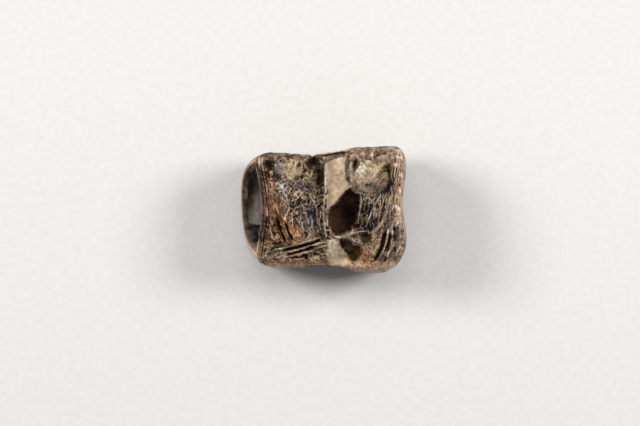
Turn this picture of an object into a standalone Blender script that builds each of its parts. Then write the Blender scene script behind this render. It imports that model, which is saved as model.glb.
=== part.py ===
"""Fossil fish vertebra lying on its side: one spool-shaped bone and the two crusts of rock left in it.

X runs along the fish, Y up its back and Z up from the table, and the origin lies on the table under the
middle of the bone. Sizes are in millimetres, and angles go round the bone's axis from Y towards Z.
"""

import math

import bmesh
import bpy

MM = 0.001

# The bone's overall form
AXIS_HEIGHT = 10.2
LEFT_END, RIGHT_END = -12.7, 13.85
BACK_LEFT, BACK_RIGHT = 10.2, 11.25
BELLY_LEFT, BELLY_RIGHT = 10.35, 11.3
HALF_WIDTH_LEFT, HALF_WIDTH_RIGHT = 10.35, 10.75
SQUARENESS = 2.5

# Where along X the height at the back and the belly and the width grow from their left to their right sizes
BACK_GROWS, BELLY_GROWS, WIDTH_GROWS = (-2.5, 7.5), (0, 8), (-10, 10)

# The two ends: the left one leans so that its cup faces a little up, and its corners are worn most where they
# face down
LEFT_LEAN, RIGHT_LEAN = 1.85, 0.5
LEFT_TILT = 0.55
LEFT_BACK_WEAR, LEFT_BELLY_WEAR = 3.5, 3.85
LEFT_UNWORN = (0.1, 0.8)
RIGHT_BACK_WEAR, RIGHT_BELLY_WEAR = 0.9, 3.2
LEFT_BACK_WEAR_POWER, LEFT_BELLY_WEAR_POWER = 5, 4
RIGHT_BACK_WEAR_POWER, RIGHT_BELLY_WEAR_POWER = 10, 6
RIM_WAVE, RIM_WAVE_LENGTH, RIM_WAVE_MIDDLE = 0.42, 14.4, 1.2
LIP_RADIUS = 0.5
LIP_TURN = 70
CUP_APEX = 2.0
CUP_BLUNTNESS = 0.92

# How finely the surface is divided. Rings stand closer where narrow bars cross the wall
AROUND = 80
CUP_RINGS = 6
LIP_STEPS = 3
LEFT_HINGE, RIGHT_HINGE = -1.0, 6.0
STATIONS = (
    -12.2, -11.2, -10.0, -9.0, -8.0, -7.0, -6.0, -5.0, -3.9, -2.8, -1.7, -0.8, -0.3, 0.1, 0.6, 1.0, 1.5,
    2.3, 3.2, 4.0, 4.5, 4.9, 5.3, 5.9, 6.9, 8.0, 9.0, 10.0, 10.8, 11.6, 12.5, 13.5,
)

# Hollows of the wall: from and to along X, from and to in degrees, depth, softness of the ends, and how far
# the right end draws back over the hollow's width
HOLLOWS = {
    "near_left": (-8.5, -0.4, 44, 113, 1.5, 0.5, 0),
    "near_panel": (1.1, 4.4, 36, 88, 1.1, 0.35, 0),
    "near_upper_right": (5.4, 12.1, 36, 73, 2.5, 0.4, 0),
    "near_lower_right": (6.2, 12.2, 73, 113, 2.0, 0.9, 3.6),
    "near_low_left": (-8.0, -1.0, 127, 142, 0.7, 0.9, 0),
    "near_low_right": (2.4, 8.0, 124, 148, 0.9, 0.9, 0),
    "back": (-9.5, 9.5, -8, 8, 0.7, 0.9, 0),
    "belly": (-8.5, 10.0, 172, 188, 0.8, 0.9, 0),
    "far_left": (-9.2, -1.1, 250, 316, 1.8, 0.6, 0),
    "far_right": (1.0, 10.6, 252, 318, 2.0, 0.6, 0),
    "far_low": (-8.6, 9.4, 214, 236, 1.3, 0.9, 0),
}
SOFT_AROUND = 4.5

# Pits with sharp edges: depth under the plain section, and outline as seen from above
PITS = {
    "main_pit": (6.2, (
        (0.9, -0.3), (1.5, 0.4), (2.6, 1.2), (3.2, 2.1), (4.0, 3.2), (5.3, 3.9), (6.1, 3.2), (6.35, 1.3),
        (6.1, -0.8), (5.95, -2.3), (5.0, -3.3), (4.0, -4.0), (2.4, -4.6), (1.4, -3.7), (1.0, -2.2),
    )),
    "low_pit": (4.0, (
        (2.8, -5.4), (4.7, -5.3), (5.3, -6.0), (6.6, -6.5), (7.1, -7.2), (6.9, -8.3), (6.0, -9.1),
        (4.9, -9.1), (4.2, -7.9), (3.3, -6.8),
    )),
    "strut_pit": (2.6, ((6.3, -4.5), (7.3, -4.3), (8.5, -4.5), (8.3, -5.6), (7.4, -6.0), (6.4, -5.3))),
    "back_edge_pit": (2.4, ((-3.0, 8.5), (-2.6, 7.6), (-1.4, 7.3), (-0.5, 8.0), (-0.7, 9.2), (-1.8, 9.7))),
    "corner_pit": (1.5, ((-10.6, 7.8), (-10.0, 7.0), (-9.1, 7.2), (-8.6, 8.1), (-9.1, 8.9), (-10.2, 8.8))),
}
PIT_MOUTH = -2.0
PIT_TAPER = 0.93
FLOOR_TAPER = 0.8
FLOOR_EDGE = 0.85

# Slits: start, end, width and depth under the plain section
SLITS = {
    "slit_left_1": ((-7.9, -1.8), (-6.5, -6.0), 0.5, 3.2),
    "slit_left_2": ((-6.6, -2.2), (-5.3, -5.6), 0.5, 3.0),
    "slit_low_1": ((-7.9, -7.5), (-1.2, -5.8), 0.55, 2.4),
    "slit_low_2": ((-6.6, -8.2), (-2.6, -7.5), 0.5, 2.0),
    "slit_right_1": ((10.9, -4.3), (10.1, -7.3), 0.75, 1.6),
    "slit_right_2": ((11.75, -4.8), (11.3, -7.2), 0.7, 1.3),
    "slit_right_3": ((9.6, -7.9), (9.0, -9.1), 0.7, 1.3),
    "slit_rim_1": ((12.5, -3.0), (12.4, -4.0), 0.6, 0.8),
    "slit_rim_2": ((12.4, -5.2), (12.5, -6.3), 0.6, 0.8),
    "slit_crest": ((5.1, 7.0), (5.8, 8.5), 0.45, 3.3),
}

# Oval sockets of the lost arches: middle along X, half length, half width, distance from the mid plane, depth
BACK_SOCKETS = (-0.6, 6.2, 1.5, 2.7, 3.2)
BELLY_SOCKETS = (0.9, 4.9, 1.6, 3.0, 3.0)
SOCKET_SIDES = 20

# Main ridges of the upper side: width, height over the wall and course as seen from above
RIDGES = {
    "septum": (0.8, 0.30, ((0.6, 8.6), (0.4, 6.5), (0.45, 3.0), (0.4, -0.5), (0.45, -2.5), (0.6, -5.0))),
    "crescent": (0.5, 0.45, ((4.7, 8.7), (4.5, 7.0), (4.7, 5.6), (5.3, 4.4))),
    "bridge_top": (0.5, 0.45, ((2.0, -4.9), (3.5, -5.0), (5.0, -4.4), (6.6, -3.8), (8.6, -3.9))),
    "long_strut": (0.8, 0.40, ((11.7, 1.8), (11.2, 0.3), (10.5, -2.0), (9.4, -3.5), (8.4, -4.3))),
    "field_strut": (0.4, 0.35, ((7.4, -3.4), (8.1, -1.6), (9.0, 0.6), (10.2, 2.6))),
    "blade": (0.4, 0.40, ((-8.6, -7.0), (-6.0, -6.5), (-3.2, -5.7), (-0.5, -4.9))),
    "top_lip": (0.5, 0.30, ((-0.2, 9.8), (2.2, 10.1), (4.9, 10.4))),
}
RIDGE_STEPS = 3
HEIGHT_STEPS = 6

# How deep a ridge is rooted, the widths of its foot and crest as shares of its own, and how far its ends sink
# as a share of its height
RIDGE_ROOT = 0.5
RIDGE_FOOT = 1.7
RIDGE_CREST = 0.45
RIDGE_END = -0.4

# Rock left in the bone
SIDE_GAP, CUP_GAP = 0.55, 0.5
CUP_CRUST = (0.3, 0.95)
CUP_CRUST_STEPS = 3
CUP_CRUST_DISH = 3.3
CUP_CRUST_DISH_RINGS = (0.85, 0.65, 0.4, 0.15)
CUP_CRUST_BREAK = (-2.6, -3.3)
CLEAR_OF_BONE = 20
SIDE_CRUST_ALONG = (6.0, 11.4)
SIDE_CRUST_AROUND = (41.5, 70)
SIDE_CRUST_DEPTH = 0.7
SIDE_CRUST_THIN = 0.35
SIDE_CRUST_EDGE_DROP = 0.7
SIDE_CRUST_FLATNESS = 2.5
SIDE_CRUST_STEPS = 14

BONE_COLOUR = (0.36, 0.27, 0.19, 1)
CREAM_COLOUR = (0.60, 0.52, 0.40, 1)
GREY_COLOUR = (0.28, 0.28, 0.25, 1)


def ramp(low, high, value):
    """0 below low, 1 above high and an S-shaped rise between."""
    share = min(max((value - low) / (high - low), 0.0), 1.0)
    return share * share * (3 - 2 * share)


def window(low, high, soft, value):
    """1 from low to high, falling to 0 over twice soft at each end."""
    return ramp(low - soft, low + soft, value) * (1 - ramp(high - soft, high + soft, value))


def mix(first, second, share):
    return first + (second - first) * share


def section(x, up):
    """Half height and half width of the section at x, the bone growing taller towards its right end."""
    back = mix(BACK_LEFT, BACK_RIGHT, ramp(*BACK_GROWS, x))
    belly = mix(BELLY_LEFT, BELLY_RIGHT, ramp(*BELLY_GROWS, x))
    return back if up > 0 else belly, mix(HALF_WIDTH_LEFT, HALF_WIDTH_RIGHT, ramp(*WIDTH_GROWS, x))


def outer_radius(x, angle):
    """Radius of the rounded-square section at x."""
    height, width = section(x, math.cos(angle))
    upright = abs(math.cos(angle)) / height
    sideways = abs(math.sin(angle)) / width
    return (upright**SQUARENESS + sideways**SQUARENESS) ** (-1 / SQUARENESS)


def upper_height(x, y):
    """Height over the axis of the plain section's upper side."""
    height, width = section(x, y)
    left = 1 - min(abs(y) / height, 0.98) ** SQUARENESS
    return width * left ** (1 / SQUARENESS)


def wall_height(x, y):
    """Height over the axis of the wall where it is seen at x and y, found by turning the angle to meet y."""
    angle = math.atan2(upper_height(x, y), y)
    for _ in range(HEIGHT_STEPS):
        radius = outer_radius(x, angle) - sink(x, angle)
        angle = math.acos(y / radius)
    return radius * math.sin(angle)


def sink(x, angle):
    """How far the wall lies below the plain section, in the hollows between the bars."""
    degrees = math.degrees(angle) % 360
    deep = 0
    for start, end, first, last, depth, soft, draw in HOLLOWS.values():
        turned = (degrees - first + 90) % 360 + first - 90
        drawn_end = end - draw * ramp(first, last, turned)
        deep += depth * window(start, drawn_end, soft, x) * window(first, last, SOFT_AROUND, turned)
    return deep


def end_x(side, angle):
    """Where the lip of the left (-1) or right (1) end stands, leaning with height and worn back at its corners."""
    up, high = math.cos(angle), math.sin(angle)
    if side < 0:
        worn = LEFT_BACK_WEAR * up**LEFT_BACK_WEAR_POWER
        if up < 0:
            worn = LEFT_BELLY_WEAR * up**LEFT_BELLY_WEAR_POWER
        worn *= 1 - ramp(*LEFT_UNWORN, high)
        lean = LEFT_LEAN * high * (high if high > 0 else 1)
        return LEFT_END + lean - LEFT_TILT * up * (1 - high) / 2 + worn
    worn = RIGHT_BACK_WEAR * up**RIGHT_BACK_WEAR_POWER
    if up < 0:
        worn = RIGHT_BELLY_WEAR * up**RIGHT_BELLY_WEAR_POWER
    y = BACK_RIGHT * up
    wave = RIM_WAVE * math.cos(2 * math.pi * (y - RIM_WAVE_MIDDLE) / RIM_WAVE_LENGTH)
    return RIGHT_END + RIGHT_LEAN * high - wave - worn


def place(x, radius, angle):
    """A point of the bone in metres, with what would reach under the table pressed flat on it."""
    height = max(AXIS_HEIGHT + radius * math.sin(angle), 0)
    return (x * MM, radius * math.cos(angle) * MM, height * MM)


def cup_point(side, share, angle, clear=0.0):
    """A point of the cup's wall, from its apex at share 0 to the inner edge of the lip at share 1."""
    lip = end_x(side, angle) - side * LIP_RADIUS
    mouth = outer_radius(lip, angle) - 2 * LIP_RADIUS
    return mix(side * CUP_APEX, lip, share), mouth * share**CUP_BLUNTNESS - clear


def lip_point(side, turn, angle):
    """A point of the lip, a half round that goes from the cup over the crest to the wall."""
    crest = end_x(side, angle)
    x = crest - side * LIP_RADIUS * (1 - math.cos(turn))
    return x, outer_radius(crest, angle) - LIP_RADIUS * (1 - math.sin(turn))


def wall_point(station, angle):
    """A point of the wall. Past the two hinges the stations stretch to meet the lips."""
    if station < LEFT_HINGE:
        reach = (end_x(-1, angle) + LIP_RADIUS - LEFT_HINGE) / (STATIONS[0] - LEFT_HINGE)
        station = LEFT_HINGE + (station - LEFT_HINGE) * reach
    elif station > RIGHT_HINGE:
        reach = (end_x(1, angle) - LIP_RADIUS - RIGHT_HINGE) / (STATIONS[-1] - RIGHT_HINGE)
        station = RIGHT_HINGE + (station - RIGHT_HINGE) * reach
    return station, outer_radius(station, angle) - sink(station, angle)


def angles(count=AROUND):
    return [2 * math.pi * step / count for step in range(count)]


def ring(point):
    """One ring of placed points, from a function that gives X and radius at an angle."""
    return [place(*point(angle), angle) for angle in angles()]


def bone_rings():
    """Rings of points from the left cup's apex over the wall to the right cup's apex."""
    shares = [(step + 0.5) / (CUP_RINGS + 0.5) for step in range(CUP_RINGS)]
    turns = [math.radians(mix(-LIP_TURN, LIP_TURN, step / LIP_STEPS)) for step in range(LIP_STEPS + 1)]
    left = [ring(lambda angle: cup_point(-1, share, angle)) for share in shares]
    left += [ring(lambda angle: lip_point(-1, turn, angle)) for turn in turns]
    right = [ring(lambda angle: cup_point(1, share, angle)) for share in shares]
    right += [ring(lambda angle: lip_point(1, turn, angle)) for turn in turns]
    middle = [ring(lambda angle: wall_point(station, angle)) for station in STATIONS]
    return left + middle + list(reversed(right))


def new_object(name, mesh_builder):
    """A mesh object in the scene from a bmesh, with its faces turned outwards."""
    mesh = bpy.data.meshes.new(name)
    bmesh.ops.recalc_face_normals(mesh_builder, faces=mesh_builder.faces)
    mesh_builder.to_mesh(mesh)
    mesh_builder.free()
    made = bpy.data.objects.new(name, mesh)
    bpy.context.scene.collection.objects.link(made)
    return made


def loft(name, rings):
    """A closed body through rings of points, with the first and last ring filled."""
    builder = bmesh.new()
    loops = [[builder.verts.new(point) for point in points] for points in rings]
    count = len(loops[0])
    for first, second in zip(loops, loops[1:]):
        for step in range(count):
            after = (step + 1) % count
            builder.faces.new((first[step], first[after], second[after], second[step]))
    builder.faces.new(loops[0])
    builder.faces.new(list(reversed(loops[-1])))
    bmesh.ops.triangulate(builder, faces=builder.faces)
    return new_object(name, builder)


def finish(made, material, sharp_angle=40):
    """Gives an object its material and smooth shading with sharp creases."""
    made.data.materials.append(material)
    made.data.shade_smooth()
    made.data.set_sharp_from_angle(angle=math.radians(sharp_angle))


def stone(name, colour, roughness):
    material = bpy.data.materials.new(name)
    material.use_nodes = True
    shader = material.node_tree.nodes["Principled BSDF"]
    shader.inputs["Base Color"].default_value = colour
    shader.inputs["Roughness"].default_value = roughness
    shader.inputs["Metallic"].default_value = 0.0
    return material


def smooth_outline(corners, between=2):
    """Points along a closed curve that passes through the corners (a Catmull-Rom curve)."""
    outline = []
    count = len(corners)
    for at in range(count):
        before, start, end, after = (corners[(at + step) % count] for step in (-1, 0, 1, 2))
        for step in range(between):
            t = step / between
            outline.append(tuple(
                0.5 * (2 * start[k] + (end[k] - before[k]) * t
                       + (2 * before[k] - 5 * start[k] + 4 * end[k] - after[k]) * t**2
                       + (3 * start[k] - before[k] - 3 * end[k] + after[k]) * t**3)
                for k in (0, 1)
            ))
    return outline


def capsule(start, end, width, half_steps=4):
    """The outline of a slit: two straight sides and two round ends."""
    heading = math.atan2(end[1] - start[1], end[0] - start[0])
    outline = []
    for centre, first in ((end, -90), (start, 90)):
        for step in range(half_steps + 1):
            turn = heading + math.radians(first + 180 * step / half_steps)
            outline.append((
                centre[0] + width / 2 * math.cos(turn),
                centre[1] + width / 2 * math.sin(turn),
            ))
    return outline


def oval(centre, half_length, half_width):
    return [
        (centre[0] + half_length * math.cos(angle), centre[1] + half_width * math.sin(angle))
        for angle in angles(SOCKET_SIDES)
    ]


def narrowed(outline, share):
    """The outline drawn in towards its middle."""
    middle = [sum(point[k] for point in outline) / len(outline) for k in (0, 1)]
    return [tuple(mix(middle[k], point[k], share) for k in (0, 1)) for point in outline]


def helper(made):
    """Keeps a cutter out of the finished part."""
    made.hide_render = True
    made.display_type = "WIRE"
    return made


def cutter(name, outline, depth, to_place):
    """A plug that cuts a pit: its outline at the mouth, narrower at the floor, with a worn edge between."""
    levels = (
        (outline, PIT_MOUTH),
        (narrowed(outline, PIT_TAPER), depth * FLOOR_EDGE),
        (narrowed(outline, FLOOR_TAPER), depth),
    )
    return helper(loft(name, [[to_place(point, level) for point in shape] for shape, level in levels]))


def ridge(name, width, height, course):
    """A bead along a course on the wall, with its root in the bone, a narrow crest and ends that sink away."""
    rings = []
    points = [
        (mix(start[0], end[0], step / RIDGE_STEPS), mix(start[1], end[1], step / RIDGE_STEPS))
        for start, end in zip(course, course[1:])
        for step in range(RIDGE_STEPS)
    ]
    points.append(course[-1])
    last = len(points) - 1
    for step, (x, y) in enumerate(points):
        before, after = points[max(step - 1, 0)], points[min(step + 1, last)]
        heading = math.atan2(after[1] - before[1], after[0] - before[0])
        aside = (-math.sin(heading) * width / 2, math.cos(heading) * width / 2)
        surface = AXIS_HEIGHT + wall_height(x, y)
        crest = surface + height * (RIDGE_END if step in (0, last) else 1)
        foot = surface - RIDGE_ROOT
        profile = ((-RIDGE_FOOT, foot), (RIDGE_FOOT, foot), (RIDGE_CREST, crest), (-RIDGE_CREST, crest))
        rings.append([
            ((x + out * aside[0]) * MM, (y + out * aside[1]) * MM, height_here * MM)
            for out, height_here in profile
        ])
    return helper(loft(name, rings))


def under_top(point, depth):
    """A point this deep under the plain section, straight down from where the outline is drawn."""
    return (point[0] * MM, point[1] * MM, (AXIS_HEIGHT + upper_height(*point) - depth) * MM)


def under_back(point, depth):
    return (point[0] * MM, (BACK_LEFT - depth) * MM, (AXIS_HEIGHT + point[1]) * MM)


def over_belly(point, depth):
    return (point[0] * MM, (depth - BELLY_LEFT) * MM, (AXIS_HEIGHT + point[1]) * MM)


def pit_cutters():
    """Every sharp-edged pit, slit and socket of the bone as a cutter."""
    cutters = []
    for name, (depth, corners) in PITS.items():
        cutters.append(cutter(name, smooth_outline(corners), depth, under_top))
    for name, (start, end, width, depth) in SLITS.items():
        cutters.append(cutter(name, capsule(start, end, width), depth, under_top))
    for side, sockets, to_place in (("back", BACK_SOCKETS, under_back), ("belly", BELLY_SOCKETS, over_belly)):
        along, half_length, half_width, offset, depth = sockets
        for which, across in (("near", offset), ("far", -offset)):
            shape = oval((along, across), half_length, half_width)
            cutters.append(cutter(f"{side}_socket_{which}", shape, depth, to_place))
    return cutters


def combine(target, helpers, operation="DIFFERENCE"):
    """Takes every helper out of the target, or adds it."""
    for made in helpers:
        boolean = target.modifiers.new(made.name, "BOOLEAN")
        boolean.operation = operation
        boolean.solver = "EXACT"
        boolean.object = made


def make_bone():
    bone = loft("centrum", bone_rings())
    finish(bone, stone("fossil bone", BONE_COLOUR, 0.55))
    combine(bone, [ridge(name, *form) for name, form in RIDGES.items()], "UNION")
    combine(bone, pit_cutters())


def make_cup_crust():
    """Grey rock in the left cup, dished and broken away towards the belly."""
    inner, outer = CUP_CRUST
    rings = [
        ring(lambda angle: cup_point(-1, mix(inner, outer, step / CUP_CRUST_STEPS), angle, CUP_GAP))
        for step in range(CUP_CRUST_STEPS + 1)
    ]
    for drawn in CUP_CRUST_DISH_RINGS:
        rings.append(ring(lambda angle: (
            cup_point(-1, outer, angle, CUP_GAP)[0] + CUP_CRUST_DISH * (1 - drawn**2),
            cup_point(-1, outer, angle, CUP_GAP)[1] * drawn,
        )))
    crust = loft("cup_crust", rings)
    left_y, right_y = CUP_CRUST_BREAK
    far = -CLEAR_OF_BONE
    corners = ((far, left_y), (0, right_y), (0, far), (far, far))
    slab = [[(x * MM, y * MM, z * MM) for x, y in corners] for z in (far, AXIS_HEIGHT + CLEAR_OF_BONE)]
    combine(crust, [helper(loft("cup_crust_break", slab))])
    finish(crust, stone("grey rock", GREY_COLOUR, 0.8))


def make_side_crust():
    """Cream rock in the upper right hollow, lying on the hollow's floor and thinner at its edges."""
    rings = []
    for row in range(SIDE_CRUST_STEPS + 1):
        along = row / SIDE_CRUST_STEPS
        upper, lower = [], []
        for column in range(SIDE_CRUST_STEPS + 1):
            across = column / SIDE_CRUST_STEPS
            x = mix(*SIDE_CRUST_ALONG, along)
            angle = math.radians(mix(*SIDE_CRUST_AROUND, across))
            crown = 1
            for share in (along, across):
                crown *= min(1, SIDE_CRUST_FLATNESS * math.sin(math.pi * share))
            outside = outer_radius(x, angle)
            floor = outside - sink(x, angle) + SIDE_GAP
            depth = SIDE_CRUST_DEPTH + SIDE_CRUST_EDGE_DROP * (1 - crown)
            top = max(floor + SIDE_CRUST_THIN, outside - depth)
            upper.append(place(x, top, angle))
            lower.append(place(x, floor, angle))
        rings.append(upper + list(reversed(lower)))
    crust = loft("side_crust", rings)
    finish(crust, stone("cream rock", CREAM_COLOUR, 0.85))


def main():
    for old in list(bpy.data.objects):
        bpy.data.objects.remove(old)
    make_bone()
    make_cup_crust()
    make_side_crust()


main()
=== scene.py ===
"""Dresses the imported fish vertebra: its porous bone skin, the fine struts on it and the rock left in it.

The functions work in millimetres, and a mesh is turned to metres when it is made. X runs along the fish, Y up
its back and Z up from the table, with the bone's own axis at AXIS_HEIGHT. Angles go round that axis from Y
towards Z, so the side that faces the camera is at 90 degrees.
"""
import math
from types import SimpleNamespace

import bpy
import numpy as np
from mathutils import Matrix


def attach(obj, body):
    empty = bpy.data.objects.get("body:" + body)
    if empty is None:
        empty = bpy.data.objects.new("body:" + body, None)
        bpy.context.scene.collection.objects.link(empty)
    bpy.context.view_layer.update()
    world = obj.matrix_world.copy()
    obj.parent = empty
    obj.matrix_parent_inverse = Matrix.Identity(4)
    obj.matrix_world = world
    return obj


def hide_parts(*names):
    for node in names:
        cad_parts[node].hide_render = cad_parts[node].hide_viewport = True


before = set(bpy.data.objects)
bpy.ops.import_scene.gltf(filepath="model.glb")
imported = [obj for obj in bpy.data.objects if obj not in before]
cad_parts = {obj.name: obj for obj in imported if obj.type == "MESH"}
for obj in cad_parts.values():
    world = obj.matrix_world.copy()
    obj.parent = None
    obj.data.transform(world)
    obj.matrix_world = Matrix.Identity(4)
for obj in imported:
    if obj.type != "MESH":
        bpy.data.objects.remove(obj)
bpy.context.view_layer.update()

MM = 0.001

# The bone's overall form, as in its solid
AXIS_HEIGHT = 10.2
LEFT_END, RIGHT_END = -12.7, 13.85
BACK_LEFT, BACK_RIGHT = 10.2, 11.25
BELLY_LEFT, BELLY_RIGHT = 10.35, 11.3
HALF_WIDTH_LEFT, HALF_WIDTH_RIGHT = 10.35, 10.75
SQUARENESS = 2.5
LEFT_LEAN, RIGHT_LEAN = 1.85, 0.5
LEFT_TILT = 0.55
LEFT_BACK_WEAR, LEFT_BELLY_WEAR = 3.5, 3.85
LEFT_UNWORN = (0.1, 0.8)
RIGHT_BACK_WEAR, RIGHT_BELLY_WEAR = 0.9, 3.2
RIM_WAVE, RIM_WAVE_LENGTH, RIM_WAVE_MIDDLE = 0.42, 14.4, 1.2
LIP_RADIUS = 0.5
LIP_TURN = 70
CUP_APEX = 2.0
CUP_BLUNTNESS = 0.92
LEFT_HINGE, RIGHT_HINGE = -1.0, 6.0
FIRST_STATION, LAST_STATION = -12.2, 13.5
MEAN_RADIUS = 10.6

# How finely the skin is divided, and how its columns crowd on the side that is seen
COLUMNS, WALL_ROWS, CUP_ROWS, LIP_ROWS = 368, 180, 26, 7
CROWDING = 0.34

# Growth rings of each cup, and the distance between the growth lines beside the lips
GROWTH_RINGS = 15
GROWTH_LINE = 0.52

# Hollows of the wall: from and to along X, from and to in degrees, depth, softness of the ends, and how far
# the right end draws back over the hollow's width
HOLLOWS = {
    "near_left": (-8.5, -0.4, 44, 113, 1.5, 0.5, 0),
    "near_panel": (1.1, 4.4, 36, 88, 1.1, 0.35, 0),
    "near_upper_right": (5.4, 12.1, 36, 73, 2.5, 0.4, 0),
    "near_lower_right": (6.2, 12.2, 73, 113, 2.0, 0.9, 3.6),
    "near_low_left": (-8.0, -1.0, 127, 142, 0.7, 0.9, 0),
    "near_low_right": (2.4, 8.0, 124, 148, 0.9, 0.9, 0),
    "back": (-9.5, 9.5, -8, 8, 0.7, 0.9, 0),
    "belly": (-8.5, 10.0, 172, 188, 0.8, 0.9, 0),
    "far_left": (-9.2, -1.1, 250, 316, 1.8, 0.6, 0),
    "far_right": (1.0, 10.6, 252, 318, 2.0, 0.6, 0),
    "far_low": (-8.6, 9.4, 214, 236, 1.3, 0.9, 0),
}
SOFT_AROUND = 4.5

# Pits of the upper side: depth under the plain section, width of the wall, and outline as seen from above
PITS = {
    "main": (6.2, 0.5, (
        (0.9, -0.3), (1.5, 0.4), (2.6, 1.2), (3.2, 2.1), (4.0, 3.2), (5.3, 3.9), (6.1, 3.2), (6.35, 1.3),
        (6.1, -0.8), (5.95, -2.3), (5.0, -3.3), (4.0, -4.0), (2.4, -4.6), (1.4, -3.7), (1.0, -2.2),
    )),
    "low": (4.0, 0.6, (
        (2.8, -5.4), (4.7, -5.3), (5.3, -6.0), (6.6, -6.5), (7.1, -7.2), (6.9, -8.3), (6.0, -9.1),
        (4.9, -9.1), (4.2, -7.9), (3.3, -6.8),
    )),
    "strut": (2.6, 0.4, ((6.3, -4.5), (7.3, -4.3), (8.5, -4.5), (8.3, -5.6), (7.4, -6.0), (6.4, -5.3))),
    "back_edge": (2.4, 0.9, ((-3.0, 8.5), (-2.6, 7.6), (-1.4, 7.3), (-0.5, 8.0), (-0.7, 9.2), (-1.8, 9.7))),
    "corner": (1.5, 0.7, ((-10.6, 7.8), (-10.0, 7.0), (-9.1, 7.2), (-8.6, 8.1), (-9.1, 8.9), (-10.2, 8.8))),
    "triangle": (1.9, 0.35, ((-8.9, -4.0), (-8.2, -4.1), (-8.4, -4.9))),
    "rim_1": (0.7, 0.20, ((12.3, -3.3), (12.8, -3.1), (12.7, -3.9), (12.3, -3.8))),
    "rim_2": (0.7, 0.20, ((12.3, -5.0), (12.8, -4.9), (12.7, -5.7), (12.3, -5.6))),
    "rim_3": (0.7, 0.20, ((12.3, -6.8), (12.8, -6.6), (12.8, -7.5), (12.3, -7.4))),
}

# Slits of the upper side: width, depth and course as seen from above
SLITS = {
    "left_1": (0.42, 1.5, ((-8.1, -1.7), (-7.6, -3.2), (-6.5, -6.0))),
    "left_2": (0.40, 1.4, ((-6.7, -2.2), (-6.2, -3.8), (-5.3, -5.5))),
    "low_1": (0.44, 1.5, ((-7.3, -7.4), (-5.6, -6.95), (-3.6, -6.4), (-0.9, -5.7))),
    "low_2": (0.36, 1.2, ((-6.8, -8.15), (-5.2, -7.8), (-3.4, -7.2), (-1.3, -6.4))),
    "low_3": (0.36, 0.8, ((-6.0, -8.6), (-4.2, -8.5), (-2.6, -8.1))),
    "low_4": (0.45, 1.0, ((-2.9, -8.2), (-3.0, -8.9))),
    "right_1": (0.68, 1.6, ((11.0, -4.0), (10.7, -5.0), (10.4, -6.4), (9.9, -7.5), (9.4, -8.5), (8.9, -9.3))),
    "right_2": (0.65, 1.3, ((11.9, -4.3), (11.6, -5.8), (11.2, -7.6))),
    "right_3": (0.35, 0.8, ((11.2, -8.4), (10.8, -9.3))),
    "crest": (0.40, 1.4, ((5.3, 7.2), (5.5, 8.0), (5.9, 8.8))),
    "over_patch": (0.35, 0.6, ((8.7, 9.1), (10.0, 9.7), (11.3, 10.0))),
    "under_lip": (0.35, 0.7, ((-0.4, 9.5), (2.0, 9.9), (4.4, 10.2))),
    "beside_septum": (0.9, 0.9, ((-0.5, 4.6), (-0.3, 5.8), (-0.6, 7.2))),
}

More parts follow.
